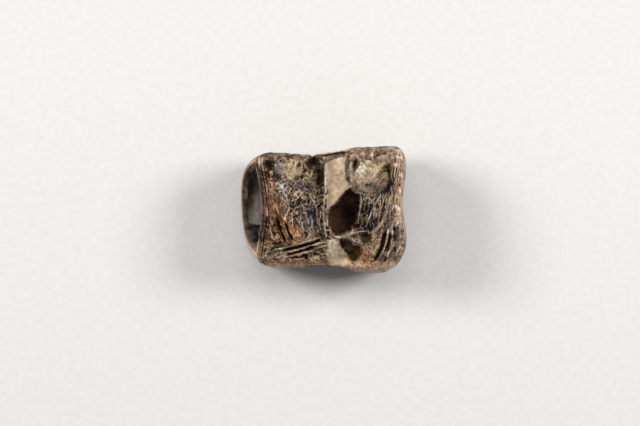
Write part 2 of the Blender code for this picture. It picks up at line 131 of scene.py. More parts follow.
# Ridges of the upper side: width, height, lightness, how grey against cream, and course as seen from above
RIDGES = {
    # septum_top's high, cool lightness is a painted highlight along the lit edge of the panel.
    "septum_top": (0.36, 0.35, 0.86, 0.75, ((0.6, 8.4), (0.4, 6.5), (0.45, 4.5), (0.5, 3.0))),
    "septum_left": (0.30, 0.35, 0.66, 0.3, ((0.3, 3.0), (0.1, 0.0), (0.2, -2.5), (0.6, -5.0))),
    "septum_right": (0.30, 0.30, 0.60, 0.3, ((0.8, 2.8), (0.75, 0.4), (0.8, -3.0))),
    "crescent_outer": (0.34, 0.45, 0.36, 0.0, ((4.1, 8.7), (4.0, 7.0), (4.15, 5.5), (4.9, 4.3))),
    "crescent_inner": (0.75, 0.45, 0.66, 0.85, ((4.9, 8.5), (4.8, 7.0), (4.95, 5.7), (5.5, 4.6))),
    "bridge_top": (0.26, 0.45, 0.68, 0.4, ((2.0, -4.8), (3.5, -4.9), (5.0, -4.4), (6.5, -3.9), (8.5, -4.0))),
    "bridge_low": (0.28, 0.40, 0.62, 0.6, ((2.2, -5.3), (4.3, -5.0), (5.3, -5.5), (6.6, -6.1), (7.6, -6.6))),
    "long_strut": (0.55, 0.45, 0.68, 0.2, ((12.2, 2.8), (11.3, 0.5), (10.5, -2.0), (9.4, -3.5), (8.2, -4.3))),
    "blade_1": (0.30, 0.40, 0.80, 0.1, ((-8.6, -7.2), (-6.0, -6.7), (-3.2, -5.8), (-0.5, -5.0))),
    "blade_2": (0.28, 0.40, 0.74, 0.1, ((-7.6, -7.8), (-5.0, -7.3), (-2.8, -6.7), (-0.2, -5.8))),
    "blade_3": (0.28, 0.35, 0.68, 0.1, ((-6.8, -8.4), (-4.4, -8.0), (-2.4, -7.5), (0.2, -6.4))),
    "low_white": (0.24, 0.45, 1.00, 0.3, ((1.45, -5.4), (1.2, -6.2), (1.3, -7.6))),
    "fan_1": (0.28, 0.40, 0.84, 0.2, ((11.5, -3.4), (11.2, -5.2), (10.75, -6.8), (10.1, -8.4))),
    "fan_2": (0.26, 0.35, 0.80, 0.2, ((12.25, -3.6), (12.0, -5.4), (11.7, -7.2), (11.1, -8.9))),
    "fan_3": (0.28, 0.35, 0.76, 0.1, ((10.3, -4.2), (9.9, -5.6), (9.3, -6.9), (8.6, -8.2))),
    "pit_edge": (0.26, 0.40, 0.55, 0.8, ((6.6, 3.2), (6.6, 1.2), (6.35, -1.0), (6.2, -2.4))),
    "field_1": (0.24, 0.35, 0.68, 0.4, ((6.9, 1.6), (8.0, 2.1), (9.0, 0.6), (9.4, -1.4))),
    "field_2": (0.24, 0.35, 0.68, 0.4, ((7.4, -3.6), (8.1, -1.6), (9.0, 0.6), (10.2, 2.6))),
    "field_3": (0.22, 0.30, 0.68, 0.4, ((9.6, -2.8), (10.0, -0.6), (10.6, 1.4), (11.3, 3.2))),
    "top_lip": (0.36, 0.40, 0.72, 0.1, ((-0.2, 9.9), (2.2, 10.3), (4.9, 10.7))),
}

# Smooth and coloured areas of the upper side: softness of the edge, and outline as seen from above
AREAS = {
    "panel": (0.25, (
        (0.5, 7.6), (1.5, 8.7), (3.0, 9.2), (4.3, 9.0), (4.0, 7.0), (4.0, 5.5), (4.5, 4.4), (4.6, 3.7),
        (3.0, 2.4), (2.7, 1.7), (1.5, 0.7), (0.8, 0.2), (0.8, 4.0),
    )),
    "cream": (0.4, (
        (5.1, 6.5), (5.8, 8.4), (7.0, 8.6), (8.3, 8.5), (9.3, 9.2), (11.0, 9.8), (12.0, 9.0), (12.0, 7.0),
        (11.0, 5.0), (10.0, 3.5), (8.5, 3.2), (6.2, 3.2), (5.4, 4.6),
    )),
    "left_patch": (0.45, (
        (-8.2, 6.5), (-8.4, 7.6), (-7.4, 8.4), (-6.2, 8.1), (-5.4, 8.7), (-4.9, 7.6), (-3.7, 7.2),
        (-3.8, 6.2), (-4.9, 5.9), (-5.6, 5.1), (-6.4, 5.6), (-7.2, 5.3),
    )),
    "warm_band": (0.6, (
        (-9.9, 5.2), (-9.0, 5.4), (-8.6, 4.0), (-8.3, 1.9), (-6.9, 1.4), (-6.2, -0.6), (-5.6, -2.4),
        (-4.2, -3.0), (-3.9, -5.2), (-6.2, -5.9), (-9.0, -6.4), (-10.0, -4.5), (-10.2, 0.0),
    )),
    "low_panel": (0.4, (
        (1.0, -5.5), (2.6, -5.6), (3.2, -6.9), (4.1, -8.2), (4.6, -9.6), (2.6, -10.0), (0.9, -9.2),
        (0.7, -7.0),
    )),
}

# Soft oval spots of the upper side: middle, half lengths and turn in degrees
SPOTS = {
    "warm_low": ((-5.0, -4.2), (1.3, 1.6), 0),
    "warm_right": ((7.4, -7.8), (2.0, 1.8), 40),
    "warm_spot": ((-2.5, 6.4), (0.7, 0.6), 0),
    "white_rough": ((-7.1, 3.2), (1.5, 2.0), 0),
    "olive_tan": ((-2.4, 5.2), (2.0, 2.2), 0),
    "plum": ((-1.9, -1.5), (1.1, 1.9), 0),
    "slate": ((-4.5, 4.3), (0.95, 0.6), -20),
    # A painted shadow in the gap beside the septum.
    "dark_gap": ((-0.8, 5.6), (0.8, 1.9), 0),
    # dark_field: painted shade of the sunk field right of the main pit, over its own blue-grey colour.
    "dark_field": ((8.4, -0.4), (2.9, 3.6), -15),
    # Painted shade, olive tinted, in the hollow's right end beside the right rim.
    "dark_streaks": ((11.6, 4.5), (0.9, 2.1), 20),
    "dark_net": ((-3.6, -0.6), (3.4, 3.8), 0),
    # Brown colour with painted shade below the edge of the corner pit.
    "brown_strip": ((-9.6, 6.2), (0.9, 0.9), 0),
    "brown_gap": ((-3.6, 6.0), (0.5, 1.0), -30),
    "fan": ((11.5, -6.8), (1.9, 2.6), -15),
    "blades": ((-4.2, -7.2), (4.2, 1.5), 17),
    "low_corner": ((-9.0, -8.3), (2.6, 1.2), 0),
    "pale_corner": ((-11.2, 8.5), (1.3, 1.1), 45),
}

# Neural and haemal sockets: towards the back or the belly, middle along X, half length, half width, distance
# from the mid plane, and how far their floors lie from the axis
SOCKETS = ((1, -0.6, 6.2, 1.5, 2.7, 7.0), (-1, 0.9, 4.9, 1.6, 3.0, 7.35))

# Notch in the edge of the back: its place along X and towards the back, its half lengths and its depth, and
# how far the struts keep from it
NOTCH, NOTCH_RADII, NOTCH_DEPTH, NOTCH_CLEAR = (-1.85, 1.0), (0.30, 0.25), 0.38, 2.3


def ramp(low, high, value):
    """0 below low, 1 above high and an S-shaped rise between."""
    share = np.clip((value - low) / (high - low), 0, 1)
    return share * share * (3 - 2 * share)


def window(low, high, soft, value):
    """1 from low to high, falling to 0 over twice soft at each end."""
    return ramp(low - soft, low + soft, value) * (1 - ramp(high - soft, high + soft, value))


def mix(first, second, share):
    """The first value at share 0, the second at share 1 and a straight run between."""
    return first + (second - first) * share


def weigh(at, **shares):
    """The sum of the named values, each times its share."""
    return sum(share * getattr(at, name) for name, share in shares.items())


def scattered(cells, seed):
    """Random numbers from 0 to 1 for whole-number cells: their coordinates and the seed, multiplied and
    mixed."""
    whole = cells.astype(np.int64) & 0xFFFF
    mixed = whole[..., 0] * 73856093 + whole[..., 1] * 19349663 + seed * 83492791
    if whole.shape[-1] > 2:
        mixed = mixed + whole[..., 2] * 50331653
    drawn = []
    for _ in range(2):
        mixed = ((mixed ^ (mixed >> 15)) * 40503 + 12345) & 0xFFFFFFFF
        mixed = ((mixed ^ (mixed >> 13)) * 48271 + 7919) & 0xFFFFFFFF
        drawn.append((mixed >> 4 & 0xFFFFFF) / float(0x1000000))
    return np.stack(drawn, -1)


def noise(points, size, seed):
    """Value noise from -1 to 1: random lattice values, blended along each axis by an S-shaped step."""
    scaled = points / size
    base = np.floor(scaled)
    part = scaled - base
    part = part * part * (3 - 2 * part)
    total = 0
    for corner in np.ndindex(*(2,) * points.shape[-1]):
        chosen = np.array(corner)
        weight = np.prod(np.where(chosen, part, 1 - part), axis=-1)
        total = total + weight * scattered(base + chosen, seed)[..., 0]
    return 2 * total - 1


def rough(points, size, seed, octaves=3):
    """Noise at halving sizes and strengths, from about -1 to 1."""
    return sum(noise(points, size / 2**turn, seed + turn) / 2**turn for turn in range(octaves)) / 1.6


def bent(points, strength, size, seed):
    """Points moved by rough noise, alike along all axes."""
    return points + strength * rough(points, size, seed)[..., None]


def threads(points, size, seed, width):
    """Thin winding lines, 1 where noise of two sizes crosses zero and fading to 0 where it reaches the
    width."""
    value = noise(points, size, seed) + 0.30 * noise(points, size * 0.45, seed + 1000)
    return 1 - ramp(0, width, np.abs(value))


def streaks(plan, grain, bend, size, seed, width):
    """Threads drawn out by a two by two table, their course bent by noise of a strength, a size and a
    seed."""
    strength, bend_size, bend_seed = bend
    wander = strength * rough(plan, bend_size, bend_seed)[..., None]
    return threads(plan @ np.array(grain) + wander, size, seed, width)


def cell_walls(points, size, seed):
    """Worley cells in a plane: how far a point lies from the nearest cell wall, as a share of the cell size,
    which is its distance to the second nearest seed less that to the nearest, and a random number for each
    cell. Close to a seed the share is raised, for where two seeds nearly meet."""
    scaled = points / size
    base = np.floor(scaled)
    near = np.full(points.shape[:-1], 9.0)
    second = near.copy()
    who = np.zeros_like(near)
    for offset in np.ndindex(3, 3):
        cell = base + np.array(offset) - 1
        drawn = scattered(cell, seed)
        distance = np.linalg.norm(cell + drawn - scaled, axis=-1)
        closer = distance < near
        second = np.where(closer, near, np.minimum(second, distance))
        who = np.where(closer, drawn[..., 0], who)
        near = np.where(closer, distance, near)
    return second - near + 0.3 * ramp(-0.4, -0.2, -near), who


def path_distance(points, path):
    """Shortest distance to a chain of straight runs, and the share of the chain at the nearest point."""
    best = np.full(points.shape[:-1], 1e9)
    where = np.zeros_like(best)
    for at, (start, end) in enumerate(zip(path, path[1:])):
        run = end - start
        share = np.clip((points - start) @ run / (run @ run), 0, 1)
        distance = np.linalg.norm(points - start - share[..., None] * run, axis=-1)
        closer = distance < best
        best = np.where(closer, distance, best)
        where = np.where(closer, (at + share) / (len(path) - 1), where)
    return best, where


def rounded(corners, closed=True, between=3):
    """Points along a curve through the corners (a Catmull-Rom curve)."""
    corners = np.asarray(corners, float)
    if closed:
        ring = np.vstack([corners[-1:], corners, corners[:2]])
    else:
        ring = np.vstack([2 * corners[0] - corners[1], corners, 2 * corners[-1] - corners[-2]])
    outline = []
    for before, start, end, after in zip(ring, ring[1:], ring[2:], ring[3:]):
        for step in range(between):
            t = step / between
            outline.append(0.5 * (2 * start + (end - before) * t
                                  + (2 * before - 5 * start + 4 * end - after) * t**2
                                  + (3 * start - before - 3 * end + after) * t**3))
    if not closed:
        outline.append(corners[-1])
    return np.array(outline)


def depth_inside(points, outline):
    """Distance to a closed outline, positive inside, where a line to the right crosses it an odd number of
    times."""
    loop = np.vstack([outline, outline[:1]])
    distance, _ = path_distance(points, loop)
    inside = np.zeros(distance.shape, bool)
    for start, end in zip(loop, loop[1:]):
        spans = (start[1] > points[..., 1]) != (end[1] > points[..., 1])
        rise = end[1] - start[1] if end[1] != start[1] else 1e-9
        crossing = start[0] + (points[..., 1] - start[1]) * (end[0] - start[0]) / rise
        inside ^= spans & (points[..., 0] < crossing)
    return np.where(inside, distance, -distance)


def spot(points, centre, radii, turn=0):
    """A soft oval spot: 1 at its centre and falling off as a bell, turned by so many degrees."""
    angle = math.radians(turn)
    x, y = np.moveaxis(points - np.array(centre), -1, 0)
    along = x * math.cos(angle) + y * math.sin(angle)
    across = y * math.cos(angle) - x * math.sin(angle)
    return np.exp(-((along / radii[0]) ** 2 + (across / radii[1]) ** 2) * 1.2)


def section(x, up):
    """Half height and half width of the section at x, the bone growing taller towards its right end."""
    back = mix(BACK_LEFT, BACK_RIGHT, ramp(-2.5, 7.5, x))
    belly = mix(BELLY_LEFT, BELLY_RIGHT, ramp(0, 8, x))
    return np.where(up > 0, back, belly), mix(HALF_WIDTH_LEFT, HALF_WIDTH_RIGHT, ramp(-10, 10, x))


def outer_radius(x, angle):
    """Radius of the rounded-square section at x."""
    height, width = section(x, np.cos(angle))
    upright = np.abs(np.cos(angle)) / height
    sideways = np.abs(np.sin(angle)) / width
    return (upright**SQUARENESS + sideways**SQUARENESS) ** (-1 / SQUARENESS)


def upper_height(x, y):
    """Height over the axis of the plain section's upper side."""
    height, width = section(x, y)
    left = 1 - np.minimum(np.abs(y) / height, 0.98) ** SQUARENESS
    return width * left ** (1 / SQUARENESS)


def sink(x, angle):
    """How far the wall lies below the plain section, in the hollows between the bars."""
    degrees = np.degrees(angle) % 360
    deep = np.zeros_like(x + angle)
    for start, end, first, last, depth, soft, draw in HOLLOWS.values():
        turned = (degrees - first + 90) % 360 + first - 90
        drawn_end = end - draw * ramp(first, last, turned)
        deep += depth * window(start, drawn_end, soft, x) * window(first, last, SOFT_AROUND, turned)
    return deep


def wall_radius(x, angle):
    """Radius of the wall without its texture."""
    return outer_radius(x, angle) - sink(x, angle)


def end_x(side, angle):
    """Where the lip of the left (-1) or right (1) end stands, leaning with height and worn at its corners."""
    up, high = np.cos(angle), np.sin(angle)
    if side < 0:
        worn = np.where(up > 0, LEFT_BACK_WEAR * np.abs(up) ** 5, LEFT_BELLY_WEAR * up**4)
        worn = worn * (1 - ramp(*LEFT_UNWORN, high))
        lean = LEFT_LEAN * high * np.where(high > 0, high, 1)
        return LEFT_END + lean - LEFT_TILT * up * (1 - high) / 2 + worn
    worn = np.where(up > 0, RIGHT_BACK_WEAR * up**10, RIGHT_BELLY_WEAR * up**6)
    wave = RIM_WAVE * np.cos(2 * np.pi * (BACK_RIGHT * up - RIM_WAVE_MIDDLE) / RIM_WAVE_LENGTH)
    return RIGHT_END + RIGHT_LEAN * high - wave - worn


def cup_profile(side, share, angle):
    """X and radius of the cup's wall, from its apex at share 0 to the inner edge of the lip at share 1."""
    lip = end_x(side, angle) - side * LIP_RADIUS
    mouth = outer_radius(lip, angle) - 2 * LIP_RADIUS
    return mix(side * CUP_APEX, lip, share), mouth * share**CUP_BLUNTNESS


def lip_profile(side, turn, angle):
    """X and radius of the lip, a half round from the cup over the crest to the wall."""
    crest = end_x(side, angle)
    x = crest - side * LIP_RADIUS * (1 - np.cos(turn))
    return x, outer_radius(crest, angle) - LIP_RADIUS * (1 - np.sin(turn))


def wall_profile(_, station, angle):
    """X and radius of a ring of the wall. Past the two hinges the rings stretch to meet the lips."""
    left = (end_x(-1, angle) + LIP_RADIUS - LEFT_HINGE) / (FIRST_STATION - LEFT_HINGE)
    right = (end_x(1, angle) - LIP_RADIUS - RIGHT_HINGE) / (LAST_STATION - RIGHT_HINGE)
    x = np.where(station < LEFT_HINGE, LEFT_HINGE + (station - LEFT_HINGE) * left, station)
    x = np.where(station > RIGHT_HINGE, RIGHT_HINGE + (station - RIGHT_HINGE) * right, x)
    return x, wall_radius(x, angle)


def flow(plan):
    """Coordinates along and across the bone's grain, seen from above: level in the left field, drawn out
    along the slanting blades below it, and fanning down and left from the right rim."""
    x, y = np.moveaxis(plan, -1, 0)
    near = np.clip(y, -10, 10)
    fan = (13.6 - x) / (1 + 0.30 * np.maximum(2 - near, 0))
    right = ramp(8.5, 11.0, x + 0.25 * near)
    low = ramp(-4.6, -6.0, near) * (1 - ramp(0.5, 2.5, x)) * (near > -10)
    slanted_along = x * 0.95 + y * 0.3
    slanted_across = y * 0.95 - x * 0.3
    along = mix(mix(x, slanted_along * 0.35, low), y * 0.35, right)
    across = mix(mix(y, slanted_across, low), fan * 2.4, right)
    return np.stack([along, across], -1)


def lattice(unrolled, place, top):
    """The spongy bone, 1 on its struts and 0 in the gaps: winding threads of three sizes and the walls of
    Worley cells, drawn out along the grain, bent by noise and each strong only in patches. Away from the
    upper side the grain runs along the bone. Second, a number per cell."""
    bend = np.stack([rough(place, 1.7, 5), rough(place, 1.7, 6)], -1)
    grain = mix(unrolled * (0.42, 1.0), flow(unrolled), top[..., None]) + 0.55 * bend
    patch = 0.5 + 0.5 * rough(place, 1.5, 8)
    other = 0.5 + 0.5 * rough(place, 1.1, 9)
    walls, who = cell_walls(grain * (1.15, 0.8), 0.72, 11)
    return np.max([
        threads(grain * (1.0, 0.55), 0.90, 27, 0.17) * ramp(0.1, 0.5, patch),
        0.9 * threads(grain * (1.0, 0.7), 0.70, 28, 0.20) * ramp(0.2, 0.6, other),
        0.8 * (1 - ramp(0.04, 0.26, walls)) * (1 - ramp(0.35, 0.75, patch)),
        0.65 * threads(grain, 0.38, 29, 0.20),
    ], axis=0), who


def wall_zones(plan, top):
    """How much each named area of the upper side holds at a point, from 0 to 1. Top is 1 on the upper
    side."""
    x, y = np.moveaxis(plan, -1, 0)
    edge = 0.25 * rough(plan, 0.9, 71)
    zones = {name: spot(plan, *oval) for name, oval in SPOTS.items()}
    for name, (soft, outline) in AREAS.items():
        zones[name] = ramp(-soft, soft, depth_inside(plan, rounded(outline)) + edge)
    zones["warm_band"] *= 0.75 + 0.5 * rough(plan, 1.3, 73)
    zones["warm_right"] = np.maximum(zones["warm_right"], 0.8 * spot(plan, (9.0, -5.2), (1.0, 1.4)))
    # The spot at (12.8, -3.0) adds painted light, lifting the shade where the lower right hollow ends.
    zones["fan"] = np.maximum(zones["fan"], spot(plan, (12.8, -3.0), (0.9, 1.8)))
    zones["top_band"] = ramp(8.5, 9.3, y)
    zones["over_right"] = zones["top_band"] * ramp(-0.5, 1.5, x)
    zones["low_band"] = 1 - ramp(-9.3, -8.2, y)
    zones["right_field"] = ramp(8.0, 9.5, x)
    zones["right_band"] = ramp(11.0, 12.2, x)
    return SimpleNamespace(**{name: share * top for name, share in zones.items()})


def dig_and_raise(plan, height, top):
    """Height over the axis after the pits, slits and ridges of the upper side, how much of each a point has,
    and the tone and coolness of its nearest ridge. A pit draws the surface down to its floor, a slit is a
    groove with tapering ends and a ridge a rounded bead. Top is 1 on the upper side."""
    x, y = np.moveaxis(plan, -1, 0)
    wobble = rough(plan, 0.8, 91)
    broken = rough(plan, 0.55, 95, 2)
    raised, cut, pit, cool = (np.zeros_like(x) for _ in range(4))
    tone = np.full_like(x, 0.7)
    for width, tall, light, grey, course in RIDGES.values():
        distance, where = path_distance(plan, rounded(course, closed=False))
        ends = ramp(0, 0.12, where) * ramp(0, 0.12, 1 - where)
        bead = np.exp(-((distance + 0.05 * wobble) / (0.52 * width)) ** 2) * (0.55 + 0.45 * ends)
        bead = bead * (0.86 + 0.35 * broken) * top
        height = height + tall * bead * (0.85 + 0.3 * wobble)
        tone = np.where(bead > raised, light, tone)
        cool = np.where(bead > raised, grey, cool)
        raised = np.maximum(raised, bead)
    for width, deep, course in SLITS.values():
        distance, where = path_distance(plan, rounded(course, closed=False))
        ends = ramp(0, 0.16, where) * ramp(0, 0.16, 1 - where)
        reach = width * (0.40 + 0.60 * ends) * (1 + 0.35 * broken)
        groove = (1 - ramp(0.1 * reach, 0.78 * reach, distance + 0.07 * wobble)) * (0.35 + 0.65 * ends) * top
        height = height - deep * groove
        cut = np.maximum(cut, groove)
    bottom = upper_height(x, y) + 0.3 * rough(plan, 1.1, 55)
    for deep, width, outline in PITS.values():
        sunk = ramp(-0.12, width, depth_inside(plan, rounded(outline)) + 0.10 * wobble) * top
        height = mix(height, np.minimum(height, bottom - deep), sunk)
        pit = np.maximum(pit, sunk)
    return height, raised, cut, pit, tone, cool


def in_socket(x, up, high, socket):
    """How deep a point lies in a pair of oval sockets, 1 on their floors. Up is the cosine of its angle."""
    side, middle, half_length, half_width, offset, _ = socket
    oval = np.hypot((x - middle) / half_length, (np.abs(high) - offset) / half_width)
    ragged = 0.08 * rough(np.stack([x, high], -1), 1.3, 32)
    return (1 - ramp(0.76, 1.04, oval + ragged)) * (side * up > 0.5)


def skin_rings():
    """X, radius and angle of the bone's whole skin, its part (0 cup, 1 lip, 2 wall), its end (-1 or 1) and
    its step along the part, ring by ring from the left cup's apex to the right cup's."""
    turn = -np.pi / 2 + 2 * np.pi * np.arange(COLUMNS) / COLUMNS
    angle = turn + CROWDING * np.cos(turn)
    cup = np.linspace(0, 1, CUP_ROWS + 1)[1:-1]
    lip = np.radians(np.linspace(-LIP_TURN, LIP_TURN, LIP_ROWS))
    station = np.linspace(FIRST_STATION, LAST_STATION, WALL_ROWS)
    parts = []
    for side, kind, profile, steps in (
        (-1, 0, cup_profile, cup), (-1, 1, lip_profile, lip), (0, 2, wall_profile, station),
        (1, 1, lip_profile, lip[::-1]), (1, 0, cup_profile, cup[::-1]),
    ):
        rows, around = np.meshgrid(steps, angle, indexing="ij")
        x, radius = profile(side, rows, around)
        parts.append(np.stack([x, radius, around, np.full_like(x, kind), np.full_like(x, side), rows], -1))
    return np.concatenate(parts)


def weave(place, unrolled, at):
    """Sets how strongly each point lies on a strut of the bone. The net gives way to upright strands in the
    plum zone, to knobs in three warm ones, and to fibres, upright strands and slanting ones in three more."""
    plan = place[..., :2]
    struts, at.who = lattice(unrolled, place, at.top)
    strands = streaks(plan, ((1, 0), (0, 0.18)), (0.10, 0.8, 35), 0.46, 33, 0.30)
    struts = mix(struts, strands, np.clip(1.3 * at.plum, 0, 1))
    wander = 0.12 * rough(place, 0.6, 37)[..., None]
    knobs = ramp(0.06, 0.50, cell_walls(unrolled * (1.1, 0.9) + wander, 0.44, 61)[0])
    knobbly = np.clip(1.4 * spot(plan, (-9.1, 4.2), (0.6, 1.8)) + 1.2 * at.warm_right, 0, 1)
    knobbly = np.maximum(knobbly, 0.6 * at.warm_low)
    struts = mix(struts, knobs, 0.8 * knobbly)
    for share, grain, bend, size, seed, width in (
        (0.75 * at.warm_band * (1 - knobbly), ((0.95, -0.06), (0.30, 0.24)), (0.15, 0.9, 39), 0.50, 43, 0.32),
        (0.70 * at.right_band, ((1, 0), (0, 0.22)), (0.14, 1.0, 45), 0.40, 49, 0.34),
        (0.90 * at.fan, ((0.93, 0.06), (-0.37, 0.15)), (0.12, 0.9, 53), 0.46, 51, 0.36),
    ):
        struts = mix(struts, streaks(plan, grain, bend, size, seed, width), share)
    at.struts, at.knobs = struts, knobs * knobbly


def grow_skin():
    """The skin's places in millimetres and its look values, with the bone's texture and every pit, slit,
    ridge, socket and growth ring on it."""
    x, radius, angle, kind, side, step = np.moveaxis(skin_rings(), -1, 0)
    up, high = np.cos(angle), np.sin(angle)
    place = np.stack([x, radius * up, radius * high], -1)
    plan = place[..., :2]
    unrolled = np.stack([x, (np.pi / 2 - angle) * MEAN_RADIUS], -1)
    wall, cup, lip = 1.0 * (kind == 2), 1.0 * (kind == 0), 1.0 * (kind == 1)
    top = ramp(0.08, 0.36, high) * wall

    at = wall_zones(plan, top)
    at.wall, at.cup, at.lip, at.top = wall, cup, lip, top
    weave(place, unrolled, at)
    lip_gap = np.minimum(x - end_x(-1, angle), end_x(1, angle) - x)
    at.margin = (1 - ramp(0.7, 1.8, np.minimum(lip_gap, 9.0))) * wall
    at.bars = (1 - ramp(0.15, 0.9, sink(x, angle))) * wall
    at.low_bar = ramp(-9.2, -9.9, plan[..., 1]) * ramp(-0.3, 0.2, high) * wall
    smooth = weigh(
        at, panel=1, cream=0.5, left_patch=0.8, low_panel=0.75, plum=0.35, margin=0.35, low_bar=0.30,
        top_band=0.35, slate=0.5, olive_tan=0.4, low_band=0.15, pale_corner=0.7)
    at.smooth = np.clip(smooth, 0, 1) * wall + 0.92 * cup + 0.75 * lip

    at.coarse = rough(place, 2.6, 41)
    at.fine = rough(place, 0.55, 47)
    at.porous = (1 - at.smooth) * (0.75 + 0.25 * at.coarse)
    ring_wave = np.sin(2 * np.pi * lip_gap / GROWTH_LINE + 1.9 * rough(place, 2.2, 17))
    at.rings = ring_wave * (1 - ramp(0.9, 2.2, lip_gap)) * wall
    relief = (
        0.10 * at.coarse * wall + 0.045 * at.fine * (0.4 + 0.6 * at.porous)
        - (0.15 + 0.12 * top) * at.porous * (1 - at.struts) + 0.07 * at.rings
    )
    notch = spot(np.stack([x, up], -1), NOTCH, NOTCH_RADII) * wall
    radius = radius + relief * (1 - cup) - NOTCH_DEPTH * notch

    at.growth = np.sin(2 * np.pi * step * GROWTH_RINGS + 1.4 * noise(place, 3.0, 13)) * cup
    at.spokes = noise(np.stack([angle * 9, step * 2.2], -1), 1.0, 19) * cup
    at.oval_pit = spot(plan, (-12.35, -4.9), (0.5, 1.1)) * (side < 0) * cup * (high < 0)
    x = x - side * cup * (0.045 * at.growth + 0.07 * at.spokes * step + 0.05 * at.fine + 1.1 * at.oval_pit)

    y = radius * up
    height, at.raised, at.cut, at.pit, at.ridge_tone, at.ridge_cool = dig_and_raise(
        plan, radius * high, ramp(0.12, 0.38, high) * wall)
    floor = 0.35 * rough(np.stack([x, height], -1), 1.6, 63)
    for socket in SOCKETS:
        towards, low = socket[0], socket[-1]
        sunk = in_socket(x, up, height, socket) * wall
        y = towards * mix(towards * y, np.minimum(towards * y, low + floor), sunk)
        at.pit = np.maximum(at.pit, sunk)

    at.low_pits = 1.0 * (plan[..., 1] < -4.2) * (high > 0) * (np.abs(up) < 0.95)
    at.left_lip = spot(plan, (-14.0, 4.5), (0.6, 2.6)) * (1 - wall)
    # Bands along the crests of the lips; on the left lip they carry a painted highlight, paler and greyer.
    at.near_crest = np.exp(-((step + 0.1) / 0.50) ** 2) * (high >= 0.2)
    at.far_crest = np.exp(-((step + 0.45) / 0.5) ** 2) * (high < 0.2)
    z = np.maximum(AXIS_HEIGHT + height, 0)
    return np.stack([x, y, z], -1), skin_looks(place, at)


def skin_looks(place, at):
    """Lightness and the shares of each colour family over the skin, from its zones and its relief."""
    x, y, _ = np.moveaxis(place, -1, 0)
    at.left = 1.0 * (x < 0)
    at.speckle = rough(place, 0.30, 83, 2)
    at.blotch = rough(place, 0.85, 93, 2)
    at.on_ridge = ramp(0.15, 0.65, at.raised)
    at.low_lip = ramp(-5.0, -7.5, y)
    at.rim_part = at.left * np.maximum(ramp(7.4, 8.8, y), 1 - ramp(-6.7, -5.0, y))
    lightness = wall_tone(place, at)
    lightness = mix(lightness, cup_tone(y, at), at.cup)
    lightness = mix(lightness, lip_tone(place, at), at.lip)

    hues = [rough(place, 0.50, seed, 2) * (0.3 + 0.7 * at.porous) for seed in (109, 111, 113, 115)]
    warm = 0.22 + 0.45 * rough(place, 1.7, 101) + weigh(at, warm_band=0.7, warm_low=0.6, warm_right=0.7)
    warm = warm * (1 - 0.7 * at.smooth) * (1 - 0.7 * at.dark_field) * (1 - 0.6 * at.dark_net)
    warm = warm * (1 - 0.4 * at.margin * at.left) + 0.25 * at.margin * at.left + 0.5 * hues[0]
    warm += weigh(at, low_band=0.25, left_lip=0.65, cut=0.5, brown_strip=0.6, warm_spot=0.5)
    warm += 0.9 * at.pit * (1 - at.low_pits) + 0.35 * at.left * at.lip * (1 - at.near_crest)
    warm = warm * (1 - 0.7 * at.on_ridge)
    grey = 0.08 + 0.40 * rough(place, 2.1, 103) + 0.55 * hues[1] + 0.10 * at.margin * at.left
    grey += weigh(
        at, white_rough=0.6, dark_field=0.40, dark_net=0.30, plum=0.7, slate=0.9, pale_corner=0.5,
        over_right=0.5, top_band=-0.5, low_band=-0.6, right_band=0.28, warm_band=-0.9)
    slate_top = ramp(5.9, 6.9, y) * (1 - ramp(-7.6, -6.4, x + 0.5 * at.blotch))
    grey += at.left_patch * (1.1 * slate_top - 0.3) + 0.35 * at.porous * (1 - at.struts) * (1 - at.knobs)
    grey = mix(grey, at.ridge_cool, at.on_ridge)
    grey = np.clip(grey, 0, 1) * at.wall + weigh(at, cup=0.30, lip=0.25) * (1 - 0.6 * at.rim_part)
    grey = (grey + 0.35 * at.near_crest * at.left * at.lip) * (1 - at.pit)
    olive = 0.1 + 0.4 * hues[2] + 0.9 * at.low_pits * at.pit + weigh(
        at, olive_tan=0.7, cream=0.35, dark_streaks=0.5, low_panel=0.3, left_patch=0.10)
    pink = 0.5 * hues[3] + 0.25 * at.panel * ramp(3, 7, y) + weigh(
        at, margin=0.4, low_bar=0.5, lip=0.25, right_band=0.30, top_band=0.40, low_band=0.5)
    pink += 0.35 * at.bars * ramp(0.1, 0.7, rough(place, 1.2, 107))
    return {
        "lightness": lightness, "warm": warm, "grey": grey, "olive": olive, "pink": pink,
        "openness": at.porous * at.wall + 0.6 * at.rim_part * (1 - at.wall),
        "sheen": weigh(at, smooth=0.5, raised=0.4, struts=0.3, pit=-1, cut=-1),
    }


